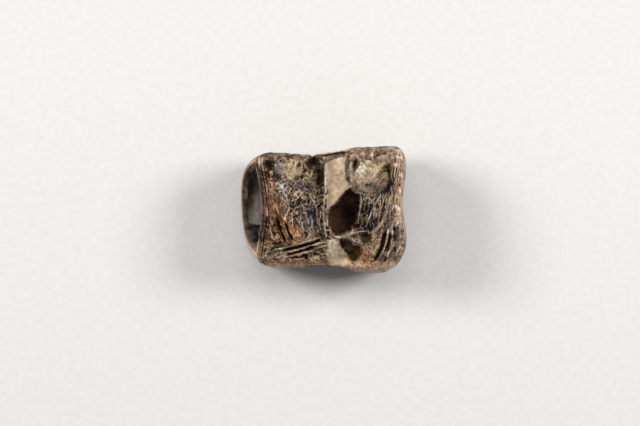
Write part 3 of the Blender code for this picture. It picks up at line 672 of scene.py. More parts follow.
def wall_tone(place, at):
    """Lightness of the wall: dark gaps and lighter struts, the zones' own tones, then the ridges, slits and
    pits."""
    x, y, _ = np.moveaxis(place, -1, 0)
    # sparkle: painted glints, bright specks standing for highlights on glossy bone.
    sparkle = ramp(0.25, 0.60, rough(place, 0.34, 97, 2))
    pocks = ramp(0.20, 0.55, rough(place, 0.42, 99, 2))
    crack = threads(bent(place, 0.3, 0.7, 87), 1.3, 85, 0.05) * ramp(0.0, 0.3, rough(place, 1.0, 89))
    aside = 1 - at.top
    net = 0.03 + 0.22 * aside + (0.70 - 0.30 * aside) * at.struts + 0.16 * (at.who - 0.5)
    plain = 0.50 + weigh(at, coarse=0.10, fine=0.12, speckle=0.06) - 0.30 * crack
    tone = mix(net, plain, at.smooth) + weigh(at, bars=0.05, coarse=0.07) + 0.20 * at.porous * at.speckle
    tone += weigh(
        at, panel=0.19, cream=0.08, left_patch=0.11, low_panel=0.30, white_rough=0.16, olive_tan=0.08,
        dark_gap=-0.40, dark_field=-0.34, dark_streaks=-0.22, dark_net=0.02, plum=-0.12, slate=-0.12,
        warm_band=0.16, warm_low=0.06, warm_right=0.20, warm_spot=0.14, brown_gap=-0.25, brown_strip=-0.12,
        top_band=-0.07, low_band=0.12, right_band=0.10, over_right=0.12, pale_corner=0.12, low_corner=0.14,
        fan=0.14, blades=0.12)
    tone += at.blotch * weigh(
        at, left_patch=0.26, olive_tan=0.20, right_band=0.16, low_band=0.16, top_band=0.22)
    tone += at.speckle * weigh(at, left_patch=0.24, right_band=0.16, low_band=0.16, top_band=0.16)
    tone += 0.6 * sparkle * weigh(at, white_rough=1, warm_right=0.5, right_band=0.20)
    tone = np.maximum(tone, 0.26 * at.right_band)
    tone -= 0.34 * pocks * weigh(at, right_band=0.9, low_bar=0.6, top_band=0.35)
    tone += (0.10 + 0.12 * at.left) * at.rings + 0.14 * at.low_bar
    tone += at.margin * (0.12 - 0.43 * at.left * (1 - at.pale_corner) * (1 - 0.6 * at.low_lip))
    ridge_tone = weigh(at, ridge_tone=1, fine=0.22, speckle=0.16) + 0.22 * rough(place, 1.3, 117, 2)
    tone = mix(tone, ridge_tone, at.on_ridge)
    # Slits are painted dark: painted shade in their grooves.
    tone = mix(tone, 0.12 + 0.08 * at.fine + (0.08 + 0.12 * at.speckle) * at.right_field, at.cut)
    # Pits and sockets get a dark brown floor with painted shade of their depth. In the main pit, shine lifts
    # the upper side as painted light and darkens the deep middle right as painted shade.
    main = window(0.3, 6.8, 0.2, x) * window(-4.8, 4.4, 0.2, y)
    shine = 0.16 + 0.16 * ramp(0.0, 3.5, y) - 0.26 * spot(place[..., :2], (4.8, -0.8), (1.8, 2.6), 20)
    mottled = 0.25 + weigh(at, blotch=0.30, speckle=0.12)
    return mix(tone, 0.10 + 0.06 * at.coarse + mottled * at.low_pits + main * shine, at.pit)


def cup_tone(y, at):
    """Lightness of the cups: growth rings and spokes, a dark oval pit painted near black as shade in its
    hollow, and the left lip's light inner side."""
    tone = np.where(at.left > 0, 0.15 + 0.25 * (1 - ramp(-4.2, -3.0, y)), 0.36)
    tone = tone + at.left * weigh(at, blotch=0.16, spokes=0.12)
    tone += weigh(at, coarse=0.12, growth=0.05, speckle=0.05)
    tone = mix(tone, 0.50 + weigh(at, fine=0.16, speckle=0.14), at.rim_part) + 0.26 * at.left_lip
    return mix(tone, 0.02, np.clip(2.0 * at.oval_pit, 0, 1))


def lip_tone(place, at):
    """Lightness of the lips: a painted highlight along the left one's crests, and pale all over on the right
    one.
    """
    tone = 0.20 + weigh(at, far_crest=0.48, rim_part=0.20, blotch=0.14, low_lip=0.16)
    tone += (0.55 + 0.3 * at.fine) * at.near_crest
    tone = np.where(at.left > 0, tone, 0.60 + 0.18 * rough(place, 1.4, 119, 2))
    return tone + weigh(at, coarse=0.12, fine=0.08, speckle=0.08)


def place_object(name, data, location=(0, 0, 0)):
    """A new object of the scene at a place in metres."""
    held = bpy.data.objects.new(name, data)
    held.location = location
    bpy.context.scene.collection.objects.link(held)
    return held


def mesh_object(name, points, corners, sizes):
    """A smooth-shaded mesh object from points in metres, the corners of all faces and each face's corner
    count."""
    mesh = bpy.data.meshes.new(name)
    mesh.vertices.add(len(points))
    mesh.vertices.foreach_set("co", points.astype(np.float32).ravel())
    mesh.loops.add(len(corners))
    mesh.loops.foreach_set("vertex_index", corners.astype(np.int32))
    mesh.polygons.add(len(sizes))
    mesh.polygons.foreach_set("loop_start", (np.cumsum(sizes) - sizes).astype(np.int32))
    mesh.update(calc_edges=True)
    mesh.polygons.foreach_set("use_smooth", np.ones(len(sizes), bool))
    return place_object(name, mesh)


def write_looks(made, looks):
    """Gives a mesh's points their look values, kept between 0 and 1."""
    for look, values in looks.items():
        attribute = made.data.attributes.new(look, "FLOAT", "POINT")
        attribute.data.foreach_set("value", np.clip(values, 0, 1).astype(np.float32).ravel())


def closed_skin(name, rings, ends, looks, end_looks):
    """A mesh from rings of equal length, closed by one point at each end, with the look values of its points.
    A corner is a ring and a turn, the end points being rings before the first and after the last, and its
    place on the mesh's own map is its turn's share of the round and its ring's share of the length."""
    rows, columns = rings.shape[:2]
    first, last = rows * columns, rows * columns + 1
    row, column = np.meshgrid(np.arange(rows - 1), np.arange(columns), indexing="ij")
    around = np.arange(columns)
    corners, sizes = [], []
    for face in (
        ((row, column), (row, column + 1), (row + 1, column + 1), (row + 1, column)),
        ((0, around + 1), (0, around), (-1, around + 0.5)),
        ((rows - 1, around), (rows - 1, around + 1), (rows, around + 0.5)),
    ):
        placed = np.stack([np.stack(np.broadcast_arrays(*corner), -1).reshape(-1, 2) for corner in face], 1)
        sizes.append(np.full(len(placed), len(face)))
        corners.append(placed.reshape(-1, 2))
    ring, turn = np.concatenate(corners).T
    numbers = np.where(ring < 0, first, np.where(ring == rows, last, ring * columns + turn % columns))
    points = np.concatenate([rings.reshape(-1, 3), np.asarray(ends, float)]) * MM
    made = mesh_object(name, points, numbers, np.concatenate(sizes))
    layer = made.data.uv_layers.new(name="OFBake")
    spread = np.stack([turn / columns, (ring + 1) / (rows + 1)], -1)
    layer.data.foreach_set("uv", spread.astype(np.float32).ravel())
    looks = {look: np.append(values, end_looks.get(look, (0, 0))) for look, values in looks.items()}
    write_looks(made, looks)
    return made


def colour(code):
    """A colour as the shader takes it, from its six hexadecimal digits."""
    shares = [int(code[at:at + 2], 16) / 255 for at in (0, 2, 4)]
    return *(share / 12.92 if share <= 0.04045 else ((share + 0.055) / 1.055) ** 2.4 for share in shares), 1


# Shades of each colour family, from the darkest to the palest, and the lightness at which each stands
SHADE_STEPS = (0.0, 0.22, 0.45, 0.70, 1.0)
SHADES = {
    "bone": "0e0905 2c2016 66513a a38b6d ddceae",
    "warm": "110803 3c220f 7c4f2b b3835a dfbf97",
    "grey": "0b0a0b 252325 565352 949089 d6d3c8",
    "olive": "0d0b05 2d2815 665d3b a59669 dbcfa6",
    "pink": "130c08 3c2a20 7f614b b69077 e4c9b0",
}


class Finish:
    """A procedural material under construction: its nodes and the links between them."""

    def __init__(self, name):
        self.material = bpy.data.materials.new(name)
        self.material.use_nodes = True
        self.tree = self.material.node_tree
        self.shader = self.tree.nodes["Principled BSDF"]
        self.space = self.node("TexCoord", {}).outputs["Object"]

    def feed(self, node, inputs):
        """Gives each named input of a node its source or its constant."""
        for name, value in inputs.items():
            if isinstance(value, bpy.types.NodeSocket):
                self.tree.links.new(value, node.inputs[name])
            else:
                node.inputs[name].default_value = value

    def node(self, kind, inputs, **settings):
        """A new node with its inputs fed and its settings made."""
        made = self.tree.nodes.new("ShaderNode" + kind)
        for name, value in settings.items():
            setattr(made, name, value)
        self.feed(made, inputs)
        return made

    def attribute(self, name):
        return self.node("Attribute", {}, attribute_name=name).outputs["Fac"]

    def noise(self, size, detail, roughness):
        """Clouds of a size in millimetres."""
        inputs = {"Vector": self.space, "Scale": 1 / (size * MM), "Detail": detail, "Roughness": roughness}
        return self.node("TexNoise", inputs).outputs["Fac"]

    def pores(self, size):
        """Distance to the nearest of scattered points, so many millimetres apart."""
        return self.node("TexVoronoi", {"Vector": self.space, "Scale": 1 / (size * MM)}).outputs["Distance"]

    def maths(self, operation, first, second):
        return self.node("Math", {0: first, 1: second}, operation=operation).outputs["Value"]

    def span(self, value, low, high, new_low, new_high):
        """A value's place between two levels, as a place between two others."""
        inputs = {"Value": value, "From Min": low, "From Max": high, "To Min": new_low, "To Max": new_high}
        return self.node("MapRange", inputs).outputs["Result"]

    def shades(self, value, codes, steps=SHADE_STEPS):
        """A value turned to colours that blend from step to step."""
        made = self.node("ValToRGB", {"Fac": value})
        elements = made.color_ramp.elements
        while len(elements) < len(steps):
            elements.new(0.5)
        for element, step, code in zip(elements, steps, codes.split()):
            element.position = step
            element.color = colour(code)
        return made.outputs["Color"]

    def shade(self, *changes):
        """The mesh's own lightness with some changes added to it."""
        total = self.attribute("lightness")
        for change in changes:
            total = self.maths("ADD", total, change)
        return total

    def paint(self, shade, base, *families):
        """Colours the shader by the shades of the base family, and by each next one as far as the mesh's
        share of it says."""
        mixed = self.shades(shade, SHADES[base])
        for family in families:
            inputs = {"Factor": self.attribute(family), "A": mixed, "B": self.shades(shade, SHADES[family])}
            mixed = self.node("Mix", inputs, data_type="RGBA").outputs["Result"]
        self.feed(self.shader, {"Base Color": mixed})

    def dull_shadows(self, shade):
        """Takes the gloss from the dark shades."""
        self.feed(self.shader, {"Specular IOR Level": self.span(shade, 0.05, 0.40, 0.05, 0.5)})

    def bump(self, *layers):
        """Chains the bumps: a height socket, how strong it is and how far it stands out in millimetres."""
        inputs = {}
        for height, strength, distance in layers:
            inputs.update({"Strength": strength, "Distance": distance * MM, "Height": height})
            inputs["Normal"] = self.node("Bump", inputs).outputs["Normal"]
        self.feed(self.shader, {"Normal": inputs["Normal"]})


def bone_finish():
    """Fossil bone: five families of shades mixed by the skin's own values, with pores, grain and a dull
    polish."""
    finish = Finish("fossil_bone_surface")
    grain = finish.noise(0.16, 3.0, 0.65)
    cloud = finish.noise(0.9, 5.0, 0.6)
    pores = finish.pores(0.42)
    open_grain = finish.span(finish.attribute("openness"), 0.0, 1.0, 0.35, 1.0)
    flecks = finish.maths("MULTIPLY", finish.span(grain, 0.25, 0.75, -0.17, 0.17), open_grain)
    clouds = finish.span(cloud, 0.3, 0.7, -0.05, 0.05)
    shade = finish.shade(flecks, clouds, finish.span(pores, 0.0, 0.30, -0.08, 0.0))
    finish.paint(shade, "bone", "pink", "olive", "grey", "warm")
    polish = finish.span(finish.attribute("sheen"), 0.0, 1.0, 0.68, 0.40)
    roughness = finish.maths("ADD", polish, finish.span(grain, 0.3, 0.7, -0.06, 0.08))
    finish.feed(finish.shader, {"Roughness": roughness})
    finish.dull_shadows(shade)
    finish.bump((cloud, 0.5, 0.10), (pores, 0.35, 0.06), (grain, 0.45, 0.04))
    return finish.material


def rock_finish(name, families, grain_size, cloud_size, clouding, roughness, relief, dull=False):
    """Fine rock: its own lightness in the shades of its families, with soft clouds and a matt grain. Relief
    says how strongly the clouds stand out and by how much, and dull whether the shadows lose their gloss."""
    finish = Finish(name)
    grain = finish.noise(grain_size, 4.0, 0.65)
    cloud = finish.noise(cloud_size, 5.0, 0.6)
    shade = finish.shade(
        finish.span(grain, 0.3, 0.7, -0.07, 0.07), finish.span(cloud, 0.3, 0.7, -clouding, clouding))
    finish.paint(shade, *families)
    finish.feed(finish.shader, {"Roughness": finish.span(grain, 0.3, 0.7, *roughness)})
    if dull:
        finish.dull_shadows(shade)
    finish.bump((cloud, *relief), (grain, 0.5, 0.05))
    return finish.material


# Rock in the left cup: shares of the cup's wall that it covers, gap, depth of its dish, and the radius at
# which it is broken off by how far an angle points towards the belly, from 0 to 1
CUP_ROCK = (0.3, 0.95)
CUP_ROCK_GAP = 0.08
CUP_ROCK_DISH = 3.2
CUP_ROCK_BREAK = (
    (0.0, 13.0), (0.19, 9.8), (0.25, 9.2), (0.30, 8.7), (0.355, 7.9), (0.375, 6.6), (0.40, 5.0), (0.55, 3.4),
    (1.0, 1.9),
)


def cup_rock():
    """Rock of the left cup. Its half section at each angle runs up the cup's wall, or along the broken face
    where that lies nearer the axis, and back over a dish whose depth falls as the square of the radius."""
    columns, wall_rows, dish_rows = 240, 40, 50
    angle = (-np.pi / 2 + 2 * np.pi * np.arange(columns) / columns)[::-1]
    back_x, _ = cup_profile(-1, CUP_ROCK[0], angle)
    front_x, front_radius = cup_profile(-1, CUP_ROCK[1], angle)
    front_radius = front_radius - CUP_ROCK_GAP
    middle_x = front_x.mean()
    lip = end_x(-1, angle) + LIP_RADIUS

    def dish_x(radius):
        """X of the dish, deepest on the axis and level with the front at the cup's wall."""
        share = radius / front_radius
        return middle_x + (front_x - middle_x) * share**2 + CUP_ROCK_DISH * (1 - share**2)

    downward, broken_at = np.array(CUP_ROCK_BREAK).T
    rim = np.minimum(front_radius, np.interp(np.maximum(-np.cos(angle), 0), downward, broken_at))
    x = mix(back_x, dish_x(rim), np.linspace(0, 1, wall_rows)[:, None])
    share = (x + CUP_APEX) / (lip + CUP_APEX)
    cone = (outer_radius(lip, angle) - 2 * LIP_RADIUS) * share**CUP_BLUNTNESS - CUP_ROCK_GAP
    on_break = np.concatenate([rim < cone, np.zeros((dish_rows - 1, columns), bool)])
    drawn = rim * np.linspace(1, 0, dish_rows + 1)[1:-1, None]
    x = np.concatenate([x, dish_x(drawn)])
    radius = np.concatenate([np.minimum(cone, rim), drawn])
    on_dish = (np.arange(len(x)) >= wall_rows)[:, None]
    y = radius * np.cos(angle)
    place = np.stack([x, y, radius * np.sin(angle)], -1)
    lumps, grain = rough(place, 1.5, 201), rough(place, 0.4, 205)
    x = x + on_dish * (0.16 * lumps + 0.05 * grain)
    y = y + on_break * (0.20 * lumps + 0.07 * grain)
    outward = ramp(-11.6, -13.2, x)
    shaded = ramp(-1.0, 4.5, y + 2.6 * (outward - 0.5) + 0.8 * lumps)
    looks = {
        "lightness": 0.48 + 0.11 * lumps + 0.09 * grain - 0.36 * shaded - 0.14 * on_break - 0.08 * outward,
        "olive": 0.12 + 0.3 * lumps + 0.45 * shaded,
        "warm": shaded * (0.30 + 0.4 * outward) + 0.1 * lumps,
    }
    rings = np.stack([x, y, AXIS_HEIGHT + place[..., 2]], -1)
    ends = [(back_x.mean(), 0, AXIS_HEIGHT), (middle_x + CUP_ROCK_DISH, 0, AXIS_HEIGHT)]
    return closed_skin("cup_rock", rings, ends, looks, {"lightness": (0.3, 0.4), "olive": (0.2, 0.2)})


# Rock in the upper right hollow: its reach along X and around in degrees, its depth under the plain section,
# its least thickness, how far its edge lies under the hollow's floor and its underside under that, and how
# finely it is divided
SIDE_ROCK_ALONG = (5.1, 12.1)
SIDE_ROCK_AROUND = (36.0, 74.0)
SIDE_ROCK_DEPTH = 0.75
SIDE_ROCK_THIN = 0.12
SIDE_ROCK_BED, SIDE_ROCK_ROOT = 0.05, 0.15
SIDE_ROCK_ROWS, SIDE_ROCK_COLUMNS = 110, 96


def side_rock():
    """Rock of the upper right hollow: a patch in X and angle with a wandering edge. Its underside follows the
    hollow's floor, and its top is domed, thinning towards the edge, with streaks that rise to the right."""
    along, over = np.meshgrid(
        np.linspace(0, 1, SIDE_ROCK_ROWS), np.linspace(0, 1, SIDE_ROCK_COLUMNS), indexing="ij")

    def wander(way, seed):
        """Noise along one way of the patch, to make its edge wander."""
        return rough(np.stack([along, over], -1) * way, 0.3, seed)

    start = SIDE_ROCK_ALONG[0] + 0.5 * wander((0, 1), 301) * (1 - along) + 0.9 * (1 - ramp(0.15, 0.40, over))
    x = mix(start, SIDE_ROCK_ALONG[1] + 0.5 * wander((0, 1), 302) * along, along)
    low_side = SIDE_ROCK_AROUND[1] + 3.0 * wander((1, 0), 303) * over
    high_side = SIDE_ROCK_AROUND[0] + 2.0 * wander((1, 0), 304) * (1 - over)
    angle = np.radians(mix(high_side, low_side, over))
    crown = ramp(0, 0.07, along) * ramp(0, 0.22, 1 - along) * ramp(0, 0.08, over) * ramp(0, 0.30, 1 - over)
    outside = outer_radius(x, angle)
    floor = wall_radius(x, angle) - SIDE_ROCK_BED
    plan = np.stack([x, outside * np.cos(angle)], -1)
    lumps, fine = rough(plan, 1.3, 311), rough(plan, 0.40, 317)
    streak_way = plan @ np.array(((0.68, 0.73 * 0.16), (-0.73, 0.68 * 0.16)))
    streaked = np.maximum(threads(streak_way, 0.60, 315, 0.45), 0.9 * threads(streak_way, 0.36, 325, 0.40))
    right = ramp(8.0, 10.4, x)
    bare = right * (1 - streaked)
    top = outside - SIDE_ROCK_DEPTH + 0.28 * lumps + 0.08 * fine - 0.20 * bare
    top = top - 0.9 * ramp(8.5, 12.0, x) * ramp(60, 72, np.degrees(angle))
    top = np.maximum(mix(floor, top, crown), floor + SIDE_ROCK_THIN * crown)
    y = top * np.cos(angle)
    both = np.concatenate([top, (floor - SIDE_ROCK_ROOT)[:, ::-1]], 1)
    turned = np.concatenate([angle, angle[:, ::-1]], 1)
    rings = np.stack([
        np.concatenate([x, x[:, ::-1]], 1), both * np.cos(turned), AXIS_HEIGHT + both * np.sin(turned)], -1)
    shaded = ramp(-0.4, 0.6, x - 9.6 - 0.78 * (y - 2.5) + 0.5 * lumps)
    chalky = spot(plan, (6.5, 7.7), (1.3, 1.0))
    # mottled: a darker patch of painted shade, greyer in tint.
    mottled = spot(plan, (7.9, 4.6), (1.5, 1.1)) * ramp(-0.1, 0.4, fine)
    ragged = (1 - ramp(0.04, 0.40, 1 - over)) * ramp(-0.2, 0.3, fine)
    speck = rough(plan, 0.30, 319, 2)
    lightness = 0.66 + 0.14 * lumps + 0.20 * fine + 0.16 * speck - 0.38 * bare - 0.36 * shaded
    lightness = lightness - 0.10 * (1 - ramp(0, 0.4, crown)) + 0.16 * chalky - 0.36 * mottled - 0.32 * ragged
    looks = {
        "lightness": lightness,
        "olive": 0.10 + 0.1 * right + 0.3 * lumps + 0.4 * shaded,
        "warm": 0.5 * ramp(6.0, 8.0, y) * right,
        "grey": 0.7 * chalky + 0.6 * mottled + 0.5 * ragged,
    }
    looks = {look: np.concatenate([values, values[:, ::-1]], 1) for look, values in looks.items()}
    ends = [rings[0].mean(0), rings[-1].mean(0)]
    return closed_skin("side_rock", rings, ends, looks, {look: (0.4, 0.4) for look in looks})


# Nets of thin struts over the hollows: reach along X, reach around in degrees, a cell's length along and
# around in millimetres, share of its struts that stand, and their radius
NETS = (
    (-7.6, -0.5, 71, 117, 0.85, 1.50, 0.42, 0.056),
    (-9.2, -0.7, 68, 116, 0.58, 1.00, 0.34, 0.038),
    (6.5, 12.2, 68, 112, 1.00, 2.20, 0.44, 0.062),
    (6.7, 11.9, 72, 112, 0.62, 1.20, 0.30, 0.036),
    (6.8, 9.8, 119, 140, 0.60, 0.70, 0.36, 0.042),
    (-9.2, -1.1, 250, 316, 0.80, 1.15, 0.50, 0.052),
    (1.0, 10.6, 252, 318, 0.85, 1.20, 0.50, 0.052),
    (-8.6, 9.4, 214, 236, 0.90, 0.90, 0.42, 0.048),
    (-9.4, 9.4, 352, 368, 0.80, 0.80, 0.40, 0.045),
    (-8.4, 9.8, 172, 188, 0.80, 0.80, 0.40, 0.045),
)

# Strands that run along the bone's grain: corners of the area seen from above, number, heading in degrees and
# how far it strays, length from and to, and radius
STRANDS = (
    (((-9.0, -7.6), (-0.5, -5.0), (0.3, -6.6), (-3.0, -8.9), (-7.0, -8.9)), 13, 17, 8, 1.6, 4.2, 0.065),
    (((11.2, -2.6), (12.8, -3.0), (12.6, -8.2), (9.6, -9.3), (9.6, -5.5)), 34, 68, 10, 1.0, 3.2, 0.065),
    (((11.4, 8.5), (13.2, 9.0), (13.1, -2.0), (11.4, -1.0)), 44, 84, 12, 1.0, 3.6, 0.060),
    (((-10.4, 5.6), (-9.0, 5.0), (-9.0, -6.8), (-10.4, -7.2)), 30, 88, 16, 0.8, 2.6, 0.050),
    (((9.4, 2.8), (11.0, 3.0), (10.4, -1.6), (8.6, -2.2)), 11, 82, 12, 1.2, 3.6, 0.060),
)
STRUT_POINTS = 9
STRUT_SIDES = 6
STRUT_SEED = 20090
LOWEST_STRUT = 0.01

# How far a net's joints stray, as shares of a cell and in millimetres of lift, how far its struts bend aside,
# and by how many degrees a strand's heading turns to each side of its middle
JOINT_STRAY, LIFT_STRAY = 0.42, 0.20
STRUT_SWING = 0.20
STRAND_TURN = 16


def either_way(draw, count):
    """Random numbers from -1 to 1."""
    return 2 * draw.random(count) - 1


def net_struts(draw):
    """Struts of the nets as X, arc and lift along each, their thickness and 0, for no strand. A net is a grid
    of triangles with its joints moved at random: a strut joins two neighbours, bends to one side, and only
    some of them stand."""
    step = np.linspace(0, 1, STRUT_POINTS)[:, None]
    courses, thick = [], []
    for start, end, first, last, along, around, kept, radius in NETS:
        rows = int(math.radians(last - first) * MEAN_RADIUS / around) + 1
        columns = int((end - start) / along) + 1
        column, row = np.meshgrid(np.arange(columns), np.arange(rows), indexing="ij")
        arc = math.radians(first) * MEAN_RADIUS + around * row
        joints = np.stack([start + along * (column + 0.5 * (row % 2)), arc, 0.0 * row], -1)
        joints += either_way(draw, joints.shape) * (JOINT_STRAY * along, JOINT_STRAY * around, LIFT_STRAY)
        for across, up in ((1, 0), (0, 1), (-1, 1)):
            other = column + across + up * (row % 2)
            fits = (other >= 0) & (other < columns) & (row + up < rows)
            fits &= draw.random(fits.shape) < kept
            begin = joints[fits]
            finish = joints[other[fits], row[fits] + up]
            run = finish - begin
            swing = either_way(draw, len(run))[:, None] * STRUT_SWING
            control = (begin + finish) / 2 + np.stack([-run[:, 1], run[:, 0], 0 * run[:, 0]], -1) * swing
            control[:, 2] += 0.10 + 0.16 * draw.random(len(run))
            begin, control, finish = begin[:, None], control[:, None], finish[:, None]
            courses.append(begin * (1 - step) ** 2 + control * 2 * step * (1 - step) + finish * step**2)
            thick.append(radius * (0.5 + 1.1 * draw.random(len(run)) ** 2))
    return standing(np.concatenate(courses), np.concatenate(thick), 0)


def strand_struts(draw):
    """Strands as X, arc and lift along each, their thickness and 1, for a strand: an arc from a random point
    of its area, whose heading turns steadily by a small random bend."""
    step = np.linspace(0, 1, STRUT_POINTS)
    courses, thick = [], []
    for area, count, heading, stray, shortest, longest, radius in STRANDS:
        area = np.array(area)
        low, high = area.min(0), area.max(0)
        tried = low + (high - low) * draw.random((count * 6, 2))
        middle = tried[depth_inside(tried, area) > 0.1][:count]
        count = len(middle)
        turned = np.radians(heading + stray * either_way(draw, count))
        length = shortest + (longest - shortest) * draw.random(count) ** 2
        way = turned[:, None] + np.radians(STRAND_TURN) * either_way(draw, count)[:, None] * (2 * step - 1)
        run = np.stack([np.cos(way), np.sin(way)], -1) * (length / STRUT_POINTS)[:, None, None]
        plan = middle[:, None] + np.cumsum(run, 1) - run.sum(1)[:, None] / 2
        arc = np.arctan2(wall_height(plan), plan[..., 1]) * MEAN_RADIUS
        lift = (-0.05 + 0.09 * draw.random(count))[:, None] * np.ones(STRUT_POINTS)
        courses.append(np.stack([plan[..., 0], arc, lift], -1))
        thick.append(radius * (0.6 + 0.7 * draw.random(count)))
    return standing(np.concatenate(courses), np.concatenate(thick), 1)


def wall_height(plan):
    """Height over the axis of the wall without its texture, found by turning the angle until the wall's point
    stands over the plan's y."""
    x, y = np.moveaxis(plan, -1, 0)
    angle = np.arctan2(upper_height(x, y), y)
    for _ in range(6):
        radius = wall_radius(x, angle)
        angle = np.arccos(np.clip(y / radius, -0.98, 0.98))
    return np.sqrt(np.maximum(radius**2 - y**2, 0.1))


def standing(courses, thick, strand):
    """The struts that stand clear at both quarters and the middle of each, with their thickness and kind."""
    seen = courses[:, (1, STRUT_POINTS // 2, STRUT_POINTS - 2)]
    kept = clear_at(seen[..., 0], seen[..., 1] / MEAN_RADIUS).all(1)
    return courses[kept], thick[kept], np.full(kept.sum(), strand)


def clear_at(x, angle):
    """Whether a point of the wall is clear of the pits, the slits, the plum zone and the smooth patches of
    the upper side, of the notch in the back, and of the sockets."""
    radius = wall_radius(x, angle)
    up = np.cos(angle)
    plan = np.stack([x, radius * up], -1)
    clear = spot(plan, *SPOTS["plum"]) < 0.5
    for _, _, corners in PITS.values():
        clear &= depth_inside(plan, rounded(corners)) < -0.15
    for width, _, course in SLITS.values():
        clear &= path_distance(plan, rounded(course, closed=False))[0] > 0.6 * width
    for area, edge in (("left_patch", 0.5), ("panel", 0.0), ("low_panel", 0.2), ("cream", 0.2)):
        clear &= depth_inside(plan, rounded(AREAS[area][1])) < edge
    clear |= np.sin(angle) < 0.3
    clear &= (np.abs(x - NOTCH[0]) > NOTCH_CLEAR) | (up < 0.85)
    for socket in SOCKETS:
        clear &= in_socket(x, up, radius * np.sin(angle), socket) < 0.1
    return clear


def strut_looks(plan, upper, lift, own):
    """The look values along the struts, from the zones that they cross and three random numbers for each."""
    at = wall_zones(plan, upper)
    pale, warm, grey = np.moveaxis(own, -1, 0)[..., None]
    warmth = np.clip(weigh(at, warm_band=1, warm_low=1, warm_right=1), 0, 1)
    # Struts that stand higher off the wall are painted lighter, as painted light.
    lightness = 0.40 + 0.60 * pale**1.5 + 0.4 * lift - 0.16 * (1 - ramp(-9.6, -8.8, plan[..., 0]))
    lightness += weigh(at, white_rough=0.10, plum=-0.08, dark_field=-0.06) - 0.10 * warmth
    flat = np.ones_like(lightness)
    return {
        "lightness": lightness, "warm": 0.10 + 0.35 * warm**2 + 0.75 * warmth,
        "grey": 0.45 * grey + 0.3 * at.white_rough, "olive": 0.10 + 0.5 * at.olive_tan,
        "pink": 0.30 * (1 - warm) * flat, "sheen": 0.5 * flat, "openness": 0.35 * flat,
    }


def thin_struts():
    """All thin struts in one mesh: round tubes that follow the wall, thickest where they join."""
    draw = np.random.default_rng(STRUT_SEED)
    courses, thick, is_strand = (
        np.concatenate(both) for both in zip(net_struts(draw), strand_struts(draw)))
    count, rows, sides = len(courses), STRUT_POINTS, STRUT_SIDES
    step = np.linspace(0, 1, rows)
    net_profile, strand_profile = 0.75 + 0.55 * (2 * step - 1) ** 2, 0.25 + 0.75 * np.sin(np.pi * step) ** 0.5
    thick = thick[:, None] * mix(net_profile, strand_profile, is_strand[:, None])
    x, angle, lift = np.moveaxis(courses / (1, MEAN_RADIUS, 1), -1, 0)
    radius = wall_radius(x, angle) + lift
    centre = np.stack([x, radius * np.cos(angle), radius * np.sin(angle)], -1)
    outward = np.stack([0 * x, np.cos(angle), np.sin(angle)], -1)
    along = np.gradient(centre, axis=1)
    along /= np.linalg.norm(along, axis=-1, keepdims=True)
    aside = np.cross(along, outward)
    aside /= np.linalg.norm(aside, axis=-1, keepdims=True)
    above = np.cross(aside, along)
    turn = (2 * np.pi * np.arange(sides) / sides)[:, None]
    rim = aside[:, :, None] * np.cos(turn) + above[:, :, None] * np.sin(turn)
    points = centre[:, :, None] + rim * thick[:, :, None, None] + (0, 0, AXIS_HEIGHT)
    points[..., 2] = np.maximum(points[..., 2], LOWEST_STRUT)

    strut, row, side = np.meshgrid(np.arange(count), np.arange(rows - 1), np.arange(sides), indexing="ij")
    base = (strut * rows + row) * sides
    after = (side + 1) % sides
    quads = np.stack([base + side, base + after, base + sides + after, base + sides + side], -1)
    first = (np.arange(count) * rows * sides)[:, None] + np.arange(sides)
    last = first + (rows - 1) * sides
    corners = np.concatenate([quads.ravel(), first[:, ::-1].ravel(), last.ravel()])
    sizes = np.repeat((4, sides), (quads.size // 4, 2 * count))
    made = mesh_object("thin_struts", points.reshape(-1, 3) * MM, corners, sizes)
    looks = strut_looks(centre[..., :2], 1.0 * (np.sin(angle) > 0.1), lift, draw.random((count, 3)))
    write_looks(made, {look: np.repeat(values, sides) for look, values in looks.items()})
    return made


def settle(piece, finish, node):
    """Gives a finished piece its material and its place on the fixed body, and hides the solid it stands
    for."""
    piece.data.materials.append(finish)
    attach(piece, "root")
    if node:
        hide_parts(node)


# Camera straight above the bone, the frame's width at the height of its axis, and the table's half width in
# metres and how far it lies under the bone
CAMERA_OFFSET = (-0.53, -0.62)
FRAME_WIDTH = 113.4
LENS, SENSOR = 300, 36
TABLE_HALF, TABLE_GAP = 1.5, 0.02


def look_down():
    """A long lens over the bone, so that its frame is as wide at the bone's axis as FRAME_WIDTH says."""
    camera = bpy.data.cameras.new("camera")
    camera.lens = LENS
    camera.sensor_width = SENSOR
    camera.clip_start = 0.01
    height = FRAME_WIDTH * LENS / SENSOR + AXIS_HEIGHT
    bpy.context.scene.camera = place_object(
        "camera", camera, (CAMERA_OFFSET[0] * MM, CAMERA_OFFSET[1] * MM, height * MM))


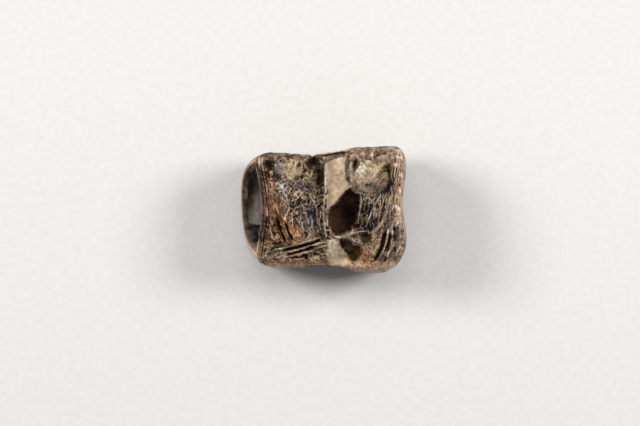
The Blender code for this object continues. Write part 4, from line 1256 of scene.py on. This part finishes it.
def soft_light(name, place, size, power):
    """A square soft box at a place in metres, facing the bone."""
    light = bpy.data.lights.new(name, "AREA")
    light.size = size
    light.energy = power
    x, y, z = place
    held = place_object(name, light, place)
    held.rotation_euler = (math.atan2(math.hypot(x, y), z - AXIS_HEIGHT * MM), 0, math.atan2(x, -y))


def pale_table():
    """A wide flat sheet under the bone, with the faint tooth of matt card."""
    half, low = TABLE_HALF, -TABLE_GAP * MM
    points = np.array([(-half, -half, low), (half, -half, low), (half, half, low), (-half, half, low)])
    table = mesh_object("table", points, np.arange(4), np.array([4]))
    finish = Finish("matt_card")
    card = finish.shades(finish.noise(1.2, 2.0, 0.5), "d3d1cc d8d6d2", (0.3, 0.7))
    finish.feed(finish.shader, {"Base Color": card, "Roughness": 0.85})
    table.data.materials.append(finish.material)


def dim_room():
    """The even light of a room that fills the shadows."""
    world = bpy.data.worlds.new("room")
    world.use_nodes = True
    world.node_tree.nodes["Background"].inputs["Color"].default_value = (0.9, 0.95, 1.0, 1)
    world.node_tree.nodes["Background"].inputs["Strength"].default_value = 0.22
    bpy.context.scene.world = world


bone_surface = bone_finish()
grey_surface = rock_finish(
    "grey_rock_surface", ("grey", "olive", "warm"), 0.18, 1.1, 0.06, (0.60, 0.85), (0.5, 0.12), dull=True)
cream_surface = rock_finish(
    "cream_rock_surface", ("bone", "olive", "warm", "grey"), 0.15, 0.8, 0.05, (0.58, 0.80), (0.4, 0.10))
places, looks = grow_skin()
apexes = [(-CUP_APEX, 0, AXIS_HEIGHT), (CUP_APEX, 0, AXIS_HEIGHT)]
apex_looks = {"lightness": (0.25, 0.25), "grey": (0.5, 0.5), "sheen": (0.3, 0.3)}
bone = closed_skin("vertebra_skin", places, apexes, looks, apex_looks)
settle(bone, bone_surface, "centrum")
settle(cup_rock(), grey_surface, "cup_crust")
settle(side_rock(), cream_surface, "side_crust")
settle(thin_struts(), bone_surface, None)

look_down()
soft_light("left_box", (-0.30, 0.12, 0.34), 0.16, 1.35)
soft_light("right_box", (0.30, 0.10, 0.34), 0.16, 1.35)
soft_light("top_box", (0.02, 0.16, 0.48), 0.20, 0.65)
dim_room()
bpy.context.scene.view_settings.view_transform = "Standard"
pale_table()
